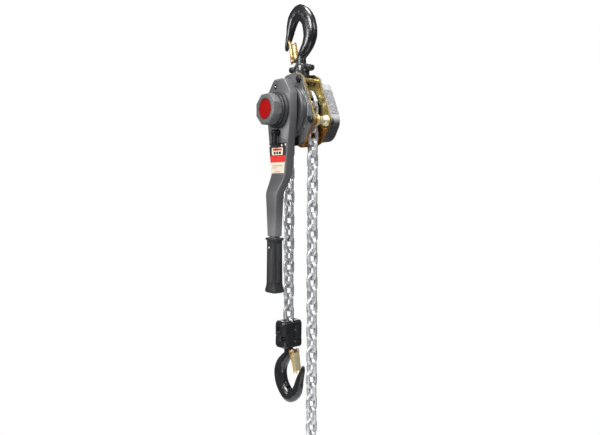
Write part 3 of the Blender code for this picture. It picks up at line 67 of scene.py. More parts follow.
AXIS = joint_place("drive_spin")


def box_about_axis(node):
    """Corners of a CAD node measured from the main axis."""
    low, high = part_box(node)
    return low - AXIS, high - AXIS


# ---------------------------------------------------------------- shape helpers
def to_mesh(shape):
    """Merge doubles, point the faces out and turn a bmesh into a mesh."""
    bmesh.ops.remove_doubles(shape, verts=shape.verts, dist=1e-7)
    bmesh.ops.recalc_face_normals(shape, faces=shape.faces)
    mesh = bpy.data.meshes.new("shape")
    shape.to_mesh(mesh)
    shape.free()
    return mesh


def mm(*points):
    """Points given in millimetres."""
    return [tuple(value * MM for value in point) for point in points]


def offset(base, *points):
    """(x, radius) points in millimetres, x measured from a base."""
    return [(base + x * MM, radius * MM) for x, radius in points]


def circle(radius, count=MEDIUM, centre=(0.0, 0.0)):
    """Points of a circle in (y, z)."""
    angles = [2 * math.pi * step / count for step in range(count)]
    return [(centre[0] + radius * math.cos(a), centre[1] + radius * math.sin(a)) for a in angles]


def mirrored(half):
    """Close a half outline given from top to bottom on the +Y side."""
    return half + [(-y, z) for y, z in reversed(half) if abs(y) > 1e-9]


def rounded(points, radii, steps=6):
    """Round the corners of a convex outline; radii is one radius, or one for each corner."""
    result = []
    for index, corner in enumerate(points):
        radius = radii if isinstance(radii, float) else radii[index]
        corner = Vector(corner)
        back = (Vector(points[index - 1]) - corner).normalized()
        ahead = (Vector(points[(index + 1) % len(points)]) - corner).normalized()
        half = back.angle(ahead) / 2
        centre = corner + (back + ahead).normalized() * radius / math.sin(half)
        start = (corner + back * radius / math.tan(half) - centre).normalized()
        end = (corner + ahead * radius / math.tan(half) - centre).normalized()
        result += [tuple(centre + start.slerp(end, step / steps) * radius) for step in range(steps + 1)]
    return result


def inset(points, distance):
    """Move every edge of an outline inwards."""
    count = len(points)
    area = sum(points[i][0] * points[(i + 1) % count][1] - points[(i + 1) % count][0] * points[i][1]
        for i in range(count))
    side = 1 if area > 0 else -1
    result = []
    for index in range(count):
        before = (Vector(points[index]) - Vector(points[index - 1])).normalized()
        after = (Vector(points[(index + 1) % count]) - Vector(points[index])).normalized()
        bisector = Vector((-before.y - after.y, before.x + after.x)).normalized() * side
        reach = max(0.3, bisector.dot(Vector((-after.y, after.x)) * side))
        result.append(tuple(Vector(points[index]) + bisector * distance / reach))
    return result


def loft(rings, closed=False):
    """Skin equal rings of 3-D points, capping both ends unless the loft is closed."""
    shape = bmesh.new()
    rows = [[shape.verts.new(point) for point in points] for points in rings]
    pairs = list(zip(rows, rows[1:])) + ([(rows[-1], rows[0])] if closed else [])
    count = len(rows[0])
    for lower, upper in pairs:
        for index in range(count):
            after = (index + 1) % count
            shape.faces.new((lower[index], lower[after], upper[after], upper[index]))
    if not closed:
        shape.faces.new(rows[0])
        shape.faces.new(rows[-1])
    return to_mesh(shape)


def stack(sections):
    """Loft (x, outline) sections along X."""
    return loft([[(x, y, z) for y, z in outline] for x, outline in sections])


def lathe(profile, segments=FINE, centre=(0.0, 0.0)):
    """Spin a closed (x, radius) profile about an axis along X."""
    rings = []
    for step in range(segments):
        angle = 2 * math.pi * step / segments
        rings.append([(x, centre[0] + r * math.cos(angle), centre[1] + r * math.sin(angle))
            for x, r in profile])
    return loft(rings, closed=True)


def bar(radius, low, high, centre=(0.0, 0.0), chamfer=0.5 * MM, count=MEDIUM):
    """Round bar along X with chamfered ends."""
    small, large = circle(radius - chamfer, count, centre), circle(radius, count, centre)
    return stack([(low, small), (low + chamfer, large), (high - chamfer, large), (high, small)])


def plate(outline, low, high, holes=()):
    """Extrude a (y, z) outline with holes from x = low to x = high."""
    shape = bmesh.new()
    for loop in [outline, *holes]:
        corners = [shape.verts.new((low, y, z)) for y, z in loop]
        for index, corner in enumerate(corners):
            shape.edges.new((corner, corners[(index + 1) % len(corners)]))
    bmesh.ops.triangle_fill(shape, use_beauty=True, edges=shape.edges[:])
    made = bmesh.ops.extrude_face_region(shape, geom=shape.faces[:])
    lifted = [item for item in made["geom"] if isinstance(item, bmesh.types.BMVert)]
    bmesh.ops.translate(shape, verts=lifted, vec=(high - low, 0, 0))
    bmesh.ops.recalc_face_normals(shape, faces=shape.faces)
    return to_mesh(shape)


def hexagon(flats, centre=(0.0, 0.0), turn=0.0):
    """Corners of a hexagon by its size across flats."""
    radius = flats / 2 / math.cos(math.pi / 6)
    angles = [math.radians(turn + 60 * step) for step in range(6)]
    return [(centre[0] + radius * math.cos(a), centre[1] + radius * math.sin(a)) for a in angles]


def sweep(path, radii, sides=16, closed=False, power=1.0, normal=Vector((0, 1, 0))):
    """Tube along a planar path; radii are (in the plane, across it), power below 1 squares it."""
    rings = []
    count = len(path)
    for index, centre in enumerate(path):
        before = path[index - 1] if closed or index else path[0]
        after = path[(index + 1) % count] if closed or index < count - 1 else path[-1]
        outward = (after - before).normalized().cross(normal)
        a, b = radii[index]
        points = []
        for side in range(sides):
            angle = 2 * math.pi * side / sides
            c, s = math.cos(angle), math.sin(angle)
            c, s = math.copysign(abs(c) ** power, c), math.copysign(abs(s) ** power, s)
            points.append(centre + outward * c * a + normal * s * b)
        rings.append(points)
    return loft(rings, closed)


def merged(meshes):
    """Put several meshes into one without joining their solids."""
    shape = bmesh.new()
    for mesh in meshes:
        shape.from_mesh(mesh)
    mesh = bpy.data.meshes.new("shape")
    shape.to_mesh(mesh)
    shape.free()
    return mesh


def moved(mesh, matrix):
    """Transformed copy of a mesh."""
    copy = mesh.copy()
    copy.transform(matrix)
    return copy


def shifted(mesh, x=0.0, y=0.0, z=0.0):
    """Copy of a mesh moved along the axes."""
    return moved(mesh, Matrix.Translation((x, y, z)))


def flipped(mesh):
    """Mirrored copy of a mesh across x = 0."""
    copy = moved(mesh, Matrix.Scale(-1, 4, (1, 0, 0)))
    copy.flip_normals()
    return copy


def combine(operation, base, tools):
    """Apply exact Booleans of the tool meshes to the base mesh."""
    body = bpy.data.objects.new("body", base)
    bpy.context.scene.collection.objects.link(body)
    helpers = []
    for tool in tools:
        helper = bpy.data.objects.new("tool", tool)
        bpy.context.scene.collection.objects.link(helper)
        modifier = body.modifiers.new("combine", 'BOOLEAN')
        modifier.operation = operation
        modifier.solver = 'EXACT'
        modifier.object = helper
        helpers.append(helper)
    evaluated = body.evaluated_get(bpy.context.evaluated_depsgraph_get())
    result = bpy.data.meshes.new_from_object(evaluated)
    for helper in [*helpers, body]:
        bpy.data.objects.remove(helper)
    return result


def cut(base, *tools):
    """Base mesh less the tool meshes."""
    return combine('DIFFERENCE', base, tools)


def join(base, *tools):
    """Base mesh joined with the tool meshes."""
    return combine('UNION', base, tools)


# ---------------------------------------------------------------- materials
class Finish:
    """Principled material whose patterns run in the piece's own coordinates."""

    def __init__(self, name, metallic=0.0, **sockets):
        self.material = bpy.data.materials.new(name)
        self.material.use_nodes = True
        self.tree = self.material.node_tree
        self.shader = self.tree.nodes["Principled BSDF"]
        self.shader.inputs["Metallic"].default_value = metallic
        for socket, value in sockets.items():
            self.shader.inputs[socket.replace("_", " ")].default_value = value
        self.place = self.tree.nodes.new("ShaderNodeTexCoord").outputs["Object"]
        self.height = None

    def link(self, source, target):
        self.tree.links.new(source, target)

    def stretched(self, factors):
        """Coordinates scaled along each axis."""
        mapping = self.tree.nodes.new("ShaderNodeMapping")
        mapping.inputs["Scale"].default_value = factors
        self.link(self.place, mapping.inputs["Vector"])
        return mapping.outputs["Vector"]

    def noise(self, scale, detail=4.0, rough=0.55, stretch=(1, 1, 1), distortion=0.0):
        """Fractal noise, scale in features per metre."""
        node = self.tree.nodes.new("ShaderNodeTexNoise")
        node.inputs["Scale"].default_value = scale
        node.inputs["Detail"].default_value = detail
        node.inputs["Roughness"].default_value = rough
        node.inputs["Distortion"].default_value = distortion
        self.link(self.stretched(stretch), node.inputs["Vector"])
        return node.outputs["Fac"]

    def cells(self, scale):
        """Distance to the nearest of random points, for hammered or cast grain."""
        node = self.tree.nodes.new("ShaderNodeTexVoronoi")
        node.inputs["Scale"].default_value = scale
        self.link(self.place, node.inputs["Vector"])
        return node.outputs["Distance"]

    def edges(self):
        """Light where an edge stands proud, for wear."""
        node = self.tree.nodes.new("ShaderNodeNewGeometry")
        return node.outputs["Pointiness"]

    def along(self, axis, start, end):
        """Ramp from 0 at start to 1 at end along an axis of the piece."""
        split = self.tree.nodes.new("ShaderNodeSeparateXYZ")
        self.link(self.place, split.inputs["Vector"])
        node = self.tree.nodes.new("ShaderNodeMapRange")
        node.inputs["From Min"].default_value = start
        node.inputs["From Max"].default_value = end
        self.link(split.outputs[axis], node.inputs["Value"])
        return node.outputs["Result"]

    def spread(self, factor, low, high, start=0.3, end=0.7):
        """Map a factor to values from low to high."""
        node = self.tree.nodes.new("ShaderNodeMapRange")
        node.inputs["From Min"].default_value = start
        node.inputs["From Max"].default_value = end
        node.inputs["To Min"].default_value = low
        node.inputs["To Max"].default_value = high
        self.link(factor, node.inputs["Value"])
        return node.outputs["Result"]

    def ramp(self, factor, *stops):
        """Colour ramp through (position, colour) stops."""
        node = self.tree.nodes.new("ShaderNodeValToRGB")
        elements = node.color_ramp.elements
        while len(elements) < len(stops):
            elements.new(0.5)
        for element, (position, colour) in zip(elements, stops):
            element.position = position
            element.color = (*colour, 1.0)
        self.link(factor, node.inputs["Fac"])
        return node.outputs["Color"]

    def mix(self, factor, first, second, blend='MIX'):
        """Blend two colours, each a socket or a plain colour."""
        node = self.tree.nodes.new("ShaderNodeMix")
        node.data_type = 'RGBA'
        node.blend_type = blend
        sockets = [item for item in node.inputs if item.enabled]
        for socket, value in zip(sockets, (factor, first, second)):
            if isinstance(value, bpy.types.NodeSocket):
                self.link(value, socket)
            else:
                socket.default_value = (*value, 1.0) if isinstance(value, tuple) else value
        return next(item for item in node.outputs if item.enabled)

    def colour(self, socket):
        self.link(socket, self.shader.inputs["Base Color"])
        return self

    def roughness(self, factor, low, high):
        self.link(self.spread(factor, low, high), self.shader.inputs["Roughness"])
        return self

    def bump(self, factor, strength, depth):
        """Add relief; depth is in metres."""
        node = self.tree.nodes.new("ShaderNodeBump")
        node.inputs["Strength"].default_value = strength
        node.inputs["Distance"].default_value = depth
        self.link(factor, node.inputs["Height"])
        if self.height is not None:
            self.link(self.height, node.inputs["Normal"])
        self.height = node.outputs["Normal"]
        self.link(self.height, self.shader.inputs["Normal"])
        return self


def shade(colour, factor):
    """Colour scaled towards black or white."""
    return tuple(min(1.0, value * factor) for value in colour)


def forged_enamel():
    """Thick gloss black enamel over lumpy forged steel, worn lighter on its edges."""
    finish = Finish("forged_enamel", Coat_Weight=0.6, Coat_Roughness=0.08, Specular_IOR_Level=0.55)
    lumps = finish.noise(75, 3)
    grain = finish.noise(420, 3)
    base = finish.ramp(lumps, (0.3, (0.006, 0.006, 0.007)), (0.7, (0.017, 0.017, 0.019)))
    worn = finish.mix(finish.spread(finish.edges(), 0.0, 0.7, 0.53, 0.62), base, (0.075, 0.075, 0.08))
    finish.colour(worn).roughness(grain, 0.16, 0.42)
    return finish.bump(lumps, 0.75, 2.2 * MM).bump(grain, 0.25, 0.35 * MM).material


def enamel(name, colour, cast=0.0, rough=(0.34, 0.5), relief=0.12, upper=None):
    """Sprayed enamel with fine orange peel and paler worn edges; with upper, the part above a set height is
    painted pale grey as painted light.
    """
    finish = Finish(name, metallic=0.15, Coat_Weight=0.12, Coat_Roughness=0.3)
    cloud = finish.noise(28, 4)
    peel = finish.noise(900, 2)
    base = finish.ramp(cloud, (0.3, shade(colour, 0.88)), (0.7, shade(colour, 1.14)))
    worn = finish.mix(finish.spread(finish.edges(), 0.0, 0.6, 0.52, 0.62), base, shade(colour, 2.6))
    finish.colour(worn).roughness(finish.noise(160, 4), *rough)
    finish.bump(peel, relief, 0.15 * MM)
    if cast:
        finish.bump(finish.noise(330, 5, 0.7), cast, 0.9 * MM)
    # Painted light: above the bend of the wall the colour turns pale grey, standing for the light that falls
    # on the part facing up.
    if upper:
        height = finish.along(2, -0.028, -0.016)
        light = finish.ramp(finish.noise(210, 5, 0.7), (0.3, shade(upper, 0.62)), (0.7, shade(upper, 1.25)))
        finish.colour(finish.mix(height, worn, light))
    return finish.material


def gold_zinc():
    """Yellow passivated zinc with cloudy iridescence; painted light and shade turn it from pale straw above
    to brown-gold below.
    """
    finish = Finish("gold_zinc", metallic=0.85)
    drift = finish.noise(22, 4, 0.6, distortion=0.6)
    # Painted light and shade: the colour runs from a shaded brown-gold low down to a lit pale straw high up,
    # by height alone.
    height = finish.along(2, -0.085, 0.06)
    upper = finish.ramp(drift, (0.3, (0.62, 0.46, 0.17)), (0.6, (0.80, 0.66, 0.30)),
        (0.8, (0.62, 0.54, 0.25)))
    lower = finish.ramp(drift, (0.3, (0.50, 0.22, 0.06)), (0.7, (0.66, 0.36, 0.10)))
    finish.colour(finish.mix(finish.spread(height, 0.0, 1.0, 0.28, 0.5), lower, upper))
    finish.roughness(finish.noise(240, 4, stretch=(1, 1, 0.2)), 0.2, 0.42)
    return finish.bump(finish.noise(700, 3), 0.12, 0.15 * MM).material


def latch_gold():
    """Pale yellow passivated sheet with brown-gold bends."""
    finish = Finish("latch_gold", metallic=0.6)
    drift = finish.noise(60, 3)
    base = finish.ramp(drift, (0.3, (0.80, 0.66, 0.34)), (0.65, (0.93, 0.85, 0.56)))
    rims = finish.mix(finish.spread(finish.edges(), 0.0, 0.7, 0.54, 0.62), base, (0.62, 0.34, 0.10))
    finish.colour(rims).roughness(finish.noise(300, 3), 0.28, 0.46)
    return finish.bump(finish.noise(500, 3), 0.15, 0.2 * MM).material


def pin_gold():
    """Orange-brown passivated pins and eyes."""
    finish = Finish("pin_gold", metallic=0.8)
    drift = finish.noise(120, 3)
    finish.colour(finish.ramp(drift, (0.3, (0.50, 0.22, 0.06)), (0.7, (0.85, 0.55, 0.22))))
    finish.roughness(finish.noise(400, 3), 0.2, 0.4)
    return finish.bump(finish.noise(600, 3), 0.15, 0.15 * MM).material


def galvanised():
    """Bright galvanised chain with mottled spangle and dull spots."""
    finish = Finish("galvanised", metallic=0.6)
    spangle = finish.noise(130, 5, 0.65)
    dull = finish.noise(38, 3)
    base = finish.ramp(spangle, (0.3, (0.6, 0.605, 0.62)), (0.5, (0.8, 0.81, 0.82)),
        (0.72, (0.93, 0.93, 0.94)))
    finish.colour(finish.mix(finish.spread(dull, 0.0, 0.35), base, (0.34, 0.34, 0.35), 'MULTIPLY'))
    finish.roughness(spangle, 0.2, 0.46)
    return finish.bump(spangle, 0.3, 0.4 * MM).bump(finish.noise(520, 3), 0.2, 0.2 * MM).material


def machined(name, colour, rough=(0.25, 0.45), metallic=1.0, scale=(1, 1, 1)):
    """Turned or milled metal with fine tool marks and stains."""
    finish = Finish(name, metallic=metallic)
    stain = finish.noise(45, 4)
    marks = finish.noise(1500, 2, stretch=scale)
    finish.colour(finish.ramp(stain, (0.3, shade(colour, 0.72)), (0.7, shade(colour, 1.2))))
    finish.roughness(marks, *rough)
    return finish.bump(marks, 0.15, 0.08 * MM).material


def rubber():
    """Moulded black rubber with a fine matt grain and scuffs."""
    finish = Finish("rubber", Specular_IOR_Level=0.4)
    scuff = finish.noise(35, 5, 0.7, stretch=(1, 1, 0.35))
    grain = finish.cells(1400)
    base = finish.ramp(scuff, (0.35, (0.014, 0.014, 0.015)), (0.75, (0.038, 0.038, 0.04)))
    worn = finish.mix(finish.spread(finish.edges(), 0.0, 0.6, 0.52, 0.62), base, (0.09, 0.09, 0.095))
    finish.colour(worn).roughness(scuff, 0.42, 0.62)
    return finish.bump(grain, 0.15, 0.12 * MM).material


def moulded(name, colour, rough=(0.2, 0.35), gloss=0.5):
    """Moulded plastic with faint flow marks."""
    finish = Finish(name, Specular_IOR_Level=gloss, Coat_Roughness=0.2)
    flow = finish.noise(55, 3, distortion=0.8)
    finish.colour(finish.ramp(flow, (0.3, shade(colour, 0.8)), (0.7, shade(colour, 1.12))))
    finish.roughness(finish.noise(350, 3), *rough)
    return finish.bump(finish.noise(800, 2), 0.08, SLIVER).material


def printed(name, colour, wear=0.85):
    """Printed vinyl label with slight fading and scuffs."""
    finish = Finish(name)
    fade = finish.noise(70, 4)
    finish.colour(finish.ramp(fade, (0.3, shade(colour, wear)), (0.65, colour)))
    finish.roughness(finish.noise(400, 3), 0.32, 0.5)
    return finish.bump(finish.noise(900, 2), 0.05, 0.05 * MM).material


def embossed():
    """Stamped aluminium data plate with a dense random relief and dark infill."""
    finish = Finish("embossed", metallic=0.7)
    relief = finish.noise(620, 3, 0.6, stretch=(1, 0.7, 1.4))
    finish.colour(finish.ramp(relief, (0.44, (0.09, 0.09, 0.095)), (0.54, (0.85, 0.85, 0.87))))
    finish.roughness(relief, 0.3, 0.55)
    return finish.bump(relief, 0.6, 0.5 * MM).material


GREY = (0.105, 0.104, 0.108)
finishes = {
    "forged": forged_enamel(),
    "cover": enamel("cover_enamel", (0.062, 0.062, 0.066), rough=(0.3, 0.45)),
    # The case's pale grey upper wall is painted light.
    "case": enamel("case_enamel", (0.06, 0.06, 0.064), cast=0.35, upper=(0.66, 0.66, 0.67)),
    "lever": enamel("lever_enamel", GREY, rough=(0.36, 0.5)),
    "knob": enamel("knob_enamel", (0.12, 0.12, 0.123), cast=0.15, rough=(0.42, 0.6)),
    "knob_dark": enamel("knob_flange_enamel", (0.035, 0.035, 0.037), rough=(0.4, 0.55)),
    "gold": gold_zinc(),
    "latch": latch_gold(),
    "pin": pin_gold(),
    "chain": galvanised(),
    "steel": machined("machined_steel", (0.42, 0.42, 0.43)),
    "black": machined("black_oxide", (0.02, 0.02, 0.022), (0.22, 0.42), 0.5),
    "bronze": machined("bearing_bronze", (0.55, 0.36, 0.16)),
    "lining": moulded("friction_lining", (0.16, 0.11, 0.08), (0.75, 0.9)),
    "rubber": rubber(),
    "red": moulded("red_insert", (0.36, 0.0004, 0.0004), (0.5, 0.6), gloss=0.12),
    "red_ink": printed("label_red_ink", (0.79, 0.028, 0.02)),
    "cream": printed("label_cream", (0.82, 0.74, 0.58), 0.94),
    "black_ink": printed("label_black_ink", (0.02, 0.016, 0.012)),
    "white": moulded("white_rivet", (0.85, 0.85, 0.84)),
    "plate": embossed(),
    "bright": machined("bright_screw", (0.75, 0.75, 0.76), (0.15, 0.3)),
}


# ---------------------------------------------------------------- placing
def add(name, mesh, body, finish, place=AXIS, replaces=(), bevel=0.0, angle=32, matrix=None):
    """Make a named piece that rides on a body and stands for the CAD nodes it replaces."""
    if matrix is not None:
        mesh.transform(matrix)
    mesh.materials.clear()
    mesh.materials.append(finishes[finish])
    mesh.shade_smooth()
    thing = bpy.data.objects.new(name, mesh)
    bpy.context.scene.collection.objects.link(thing)
    thing.location = place
    if bevel:
        modifier = thing.modifiers.new("edges", 'BEVEL')
        modifier.width = bevel
        modifier.segments = 3
        modifier.limit_method = 'ANGLE'
        modifier.angle_limit = math.radians(angle)
        modifier.harden_normals = True
    else:
        mesh.set_sharp_from_angle(angle=math.radians(angle))
    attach(thing, body)
    if replaces:
        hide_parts(*replaces)
    return thing


def keep(node, finish, width=0.4 * MM):
    """Show a CAD node as it is, with welded and softened edges and a better material."""
    thing = frame["nodes"][node]
    thing.data.materials.clear()
    thing.data.materials.append(finishes[finish])
    weld = thing.modifiers.new("weld", 'WELD')
    weld.merge_threshold = 0.00001
    soft = thing.modifiers.new("edges", 'BEVEL')
    soft.width = width
    soft.segments = 2
    soft.limit_method = 'ANGLE'
    soft.angle_limit = math.radians(40)


# ---------------------------------------------------------------- hooks and latches
SEAT_CUT = 1 * MM
NECK = 11
LATCH_PIVOT = Vector((21 * MM, 0.0, 101 * MM))
LATCH_TILT = 11.0
HOOK_TURN = Matrix.Rotation(math.radians(-85), 4, 'Z')
TURNED_OVER = Matrix.Rotation(math.radians(180), 4, 'Y')


def hook_mesh(extra, shank):
    """Forged hook about its seat: u is +X and w is +Z; extra thickens the bowl, in millimetres."""
    bowl = 16 + extra
    stations = [(0, shank, NECK, NECK), (0, 103, NECK, NECK), (-1, 91, NECK, NECK), (-12, 78, 13, 13),
        (-25, 60, 16, 14), (-30, 36, 17.5 + extra / 2, 14.5), (-21, 7 - extra, 17.5 + extra / 2, 14.5),
        (4, -bowl, bowl, 14.5), (26, -6 - extra, 14.5 + extra / 2, 13),
        (36, 11 - extra / 2, 12 + extra / 4, 11.5), (41, 28, 10, 10), (47, 45, 8, 8), (52, 58, 6, 6),
        (53.5, 66, 4, 4.5)]
    path, radii = [], []
    points = [Vector(station) for station in stations]
    steps = 6
    for index in range(1, len(points) - 1):
        before, start, end = points[index - 1], points[index], points[index + 1]
        after = points[min(index + 2, len(points) - 1)]
        for step in range(steps):
            t = step / steps
            value = 0.5 * (2 * start + (end - before) * t + (2 * before - 5 * start + 4 * end - after)
                * t * t + (3 * start - before - 3 * end + after) * t ** 3)
            path.append(Vector((value[0], 0, value[1])) * MM + Vector((0, 0, SEAT_CUT)))
            radii.append((value[2] * MM, value[3] * MM))
    path.insert(0, Vector((0, 0, shank * MM)))
    radii.insert(0, (NECK * MM, NECK * MM))
    tip = path[-1]
    along = (path[-1] - path[-2]).normalized()
    a, b = radii[-1]
    for angle in (25, 50, 72, 86):
        path.append(tip + along * 5 * MM * math.sin(math.radians(angle)))
        radii.append((a * math.cos(math.radians(angle)), b * math.cos(math.radians(angle))))
    body = sweep(path, radii, 28, power=0.86)
    lug = [(0, 5.5), (0, -7), (12, -5.5), (20, -4.8), (24.5, -2.5), (25.6, 0.5), (24, 3.8), (20, 4.8)]
    lug = [(u * MM, LATCH_PIVOT.z + w * MM) for u, w in lug]
    lug_mesh = moved(plate(lug, -8.5 * MM, 8.5 * MM), SWAP)
    seat = plate(mm((-8, 0), (8, 0), (8, 9), (-8, 9)), -4 * MM, 4 * MM)
    seat = moved(moved(seat, SWAP), Matrix.Rotation(math.radians(90), 4, 'Z'))
    return cut(join(body, lug_mesh), seat)


def latch_mesh():
    """Pressed channel about its pin, pointing down -w, with a notched and flared end."""
    half, sheet = 12.5 * MM, 1.8 * MM
    web = 6.8 * MM
    stations = [(7, 1.0, -4.5, 0), (3, 1.0, -5, 0), (-4, 1.0, -5.2, 0), (-12, 0.98, -3.6, 0),
        (-24, 0.94, -2, 0), (-38, 0.90, -0.8, 0), (-46, 0.9, -0.5, 0), (-50, 0.93, 0.2, 0.7),
        (-52.6, 0.98, 1.2, 1.6)]
    rings = []
    for w, wide, ear, flare in stations:
        y = half * wide
        out = web + flare * MM
        rim = ear * MM
        corner = 2.2 * MM
        outer = [(rim, y), (out - corner, y), (out - corner * 0.3, y - corner * 0.3), (out, y - corner),
            (out, -y + corner), (out - corner * 0.3, -y + corner * 0.3), (out - corner, -y), (rim, -y)]
        inner = [(rim, -y + sheet), (out - corner, -y + sheet), (out - sheet, -y + corner),
            (out - sheet, y - corner), (out - corner, y - sheet), (rim, y - sheet)]
        rings.append([(u, v, w * MM) for u, v in outer + inner])
    channel = loft(rings)
    notch = moved(bar(8.5 * MM, 0, 20 * MM, chamfer=SLIVER), Matrix.Translation((0, 0, -56 * MM)))
    window = plate(mm((-7, -1.5), (7, -1.5), (7, 12), (-7, 12)), 2 * MM, 14 * MM)
    eye = lathe([(-half, 2.7 * MM), (-half, 5.6 * MM), (sheet - half, 5.6 * MM), (sheet - half, 2.7 * MM)],
        MEDIUM)
    eyes = [moved(eye, SWAP), moved(shifted(eye, 2 * half - sheet), SWAP)]
    return join(cut(channel, notch, window), *eyes)


def latch_pin_mesh():
    """Riveted pin with a rolled eye at each end."""
    end = 15 * MM
    profile = [(-end, 0.4 * MM), (-end, 3.4 * MM), (0.6 * MM - end, 4.4 * MM), (2.2 * MM - end, 4.4 * MM),
        (2.2 * MM - end, 2.5 * MM)]
    other = [(-x, r) for x, r in reversed(profile)]
    return moved(lathe(profile + other, MEDIUM), SWAP)


def coil(radius, wire, turns, low, high, sides=8, steps=14):
    """Helix about X."""
    count = int(turns * steps)
    rings = []
    for step in range(count + 1):
        angle = 2 * math.pi * turns * step / count
        outward = Vector((0, math.cos(angle), math.sin(angle)))
        centre = Vector((low + (high - low) * step / count, 0, 0)) + outward * radius
        spokes = [2 * math.pi * side / sides for side in range(sides)]
        rings.append([centre + (outward * math.cos(a) + Vector((1, 0, 0)) * math.sin(a)) * wire
            for a in spokes])
    return loft(rings)


def build_hook(prefix, body, latch_body, seat, turn, extra, shank):
    """Hook with its latch, latch pin and latch spring."""
    add(prefix + "_hook_forging", hook_mesh(extra, shank), body, "forged", seat,
        [prefix + "_hook"], matrix=turn, angle=40)
    pivot = joint_place(prefix + "_latch_hinge")
    tilt = Matrix.Rotation(math.radians(-LATCH_TILT), 4, 'Y')
    add(prefix + "_latch_channel", latch_mesh(), latch_body, "latch", pivot,
        [prefix + "_latch"], matrix=turn @ tilt, bevel=0.35 * MM, angle=50)
    add(prefix + "_latch_rivet", latch_pin_mesh(), body, "pin", pivot,
        [prefix + "_latch_pin"], matrix=turn)
    spring = merged([moved(coil(4.6 * MM, 0.6 * MM, 2.5, s * 8.9 * MM, s * 10.4 * MM), SWAP)
        for s in (-1, 1)])
    add(prefix + "_latch_spring", spring, body, "steel", pivot, matrix=turn)


# ---------------------------------------------------------------- fasteners
def nut_and_end(face, flats, height, stud, out, centre, turn=10.0):
    """Nut on a face with a domed bolt end, in the direction of out."""
    chamfer = 0.9 * MM
    corners = hexagon(flats, centre, turn)
    small = hexagon(flats - 2.2 * MM, centre, turn)
    nut = stack([(face, corners), (face + out * (height - chamfer), corners), (face + out * height, small)])
    top = face + out * (height + 1.6 * MM)
    end = stack([(face, circle(stud, SMALL, centre)), (top - out * 0.8 * MM, circle(stud, SMALL, centre)),
        (top, circle(stud * 0.72, SMALL, centre))])
    return join(nut, end)


def build_stays(stays):
    """Stays through both plates with a nut at each end."""
    for name, centre in stays.items():
        low, high = box_about_axis("stay_bolt_" + name)
        height = 6.6 * MM - 1.6 * MM
        left, right = low.x + 6.9 * MM, high.x - 6.9 * MM
        shank = bar(4.4 * MM, left - 1 * MM, right + 1 * MM, centre, count=SMALL)
        nuts = [nut_and_end(left, 14.6 * MM, height, 4.3 * MM, -1, centre),
            nut_and_end(right, 14.6 * MM, height, 4.3 * MM, 1, centre)]
        add("stay_nuts_" + name, merged(nuts), "frame", "black", bevel=0.35 * MM,
            replaces=["stay_bolt_" + name])
        add("stay_bar_" + name, shank, "frame", "gold")


# ---------------------------------------------------------------- frame
PLATE_CORNER = 9 * MM
TOP_STAY = (28 * MM, 77 * MM)
SIDE_STAY = (74.5 * MM, -25 * MM)
HOOK_PIN = (0.0, 78 * MM)
STAYS = {"top_front": (-TOP_STAY[0], TOP_STAY[1]), "top_rear": TOP_STAY,
    "side_front": (-SIDE_STAY[0], SIDE_STAY[1]), "side_rear": SIDE_STAY}


def frame_half():
    """Half of the side plate's outline, from top to bottom."""
    return mm((0.0, 95), (25, 92), (38, 83), (85, -24.5), (47, -77), (30, -84))


def build_plates():
    """Both side plates, with bored seats and drilled holes."""
    outline = rounded(mirrored(frame_half()), PLATE_CORNER)
    holes = [circle(26.3 * MM, FINE)] + [circle(4.8 * MM, SMALL, place) for place in STAYS.values()]
    holes.append(circle(6.8 * MM, SMALL, HOOK_PIN))
    for name in ("left", "right"):
        low, high = box_about_axis(name + "_side_plate")
        add(name + "_plate", plate(outline, low.x, high.x, holes), "frame", "gold",
            bevel=0.7 * MM, replaces=[name + "_side_plate"])


def build_brake_cover():
    """Pressed cover with a rolled dome, a stepped ring and dished nut seats."""
    low, high = box_about_axis("brake_cover")
    face, end = high.x, low.x
    outline = inset(rounded(mirrored(frame_half()), PLATE_CORNER), 1.5 * MM)
    holes = [circle(4.9 * MM, SMALL, place) for place in STAYS.values()] + [circle(60 * MM, FINE)]
    flange = plate(outline, face - 2.5 * MM, face, holes)
    profile = offset(face, (-0.8, 59.4), (-0.8, 67), (-3.6, 66.6), (-5.2, 63.5), (-7, 62))
    for step in range(7):
        angle = math.radians(15 * step)
        profile.append((end + 7 * MM - 7 * MM * math.sin(angle), 55 * MM + 7 * MM * math.cos(angle)))
    profile += offset(end, (0.3, 48), (1.4, 46), (1.4, 40), (0.2, 38.5), (0.2, 36.2), (2.7, 36.2),
        (3.9, 46), (2.8, 50), (4.5, 56), (8, 59.4))
    dome = lathe(profile, 96)
    seats = [bar(10.5 * MM, end - 5 * MM, face - 2.6 * MM, place, SLIVER) for place in STAYS.values()]
    shell = cut(join(flange, dome), merged(seats))
    add("brake_cover_pressing", shell, "frame", "cover", bevel=0.6 * MM, angle=40,
        replaces=["brake_cover"])


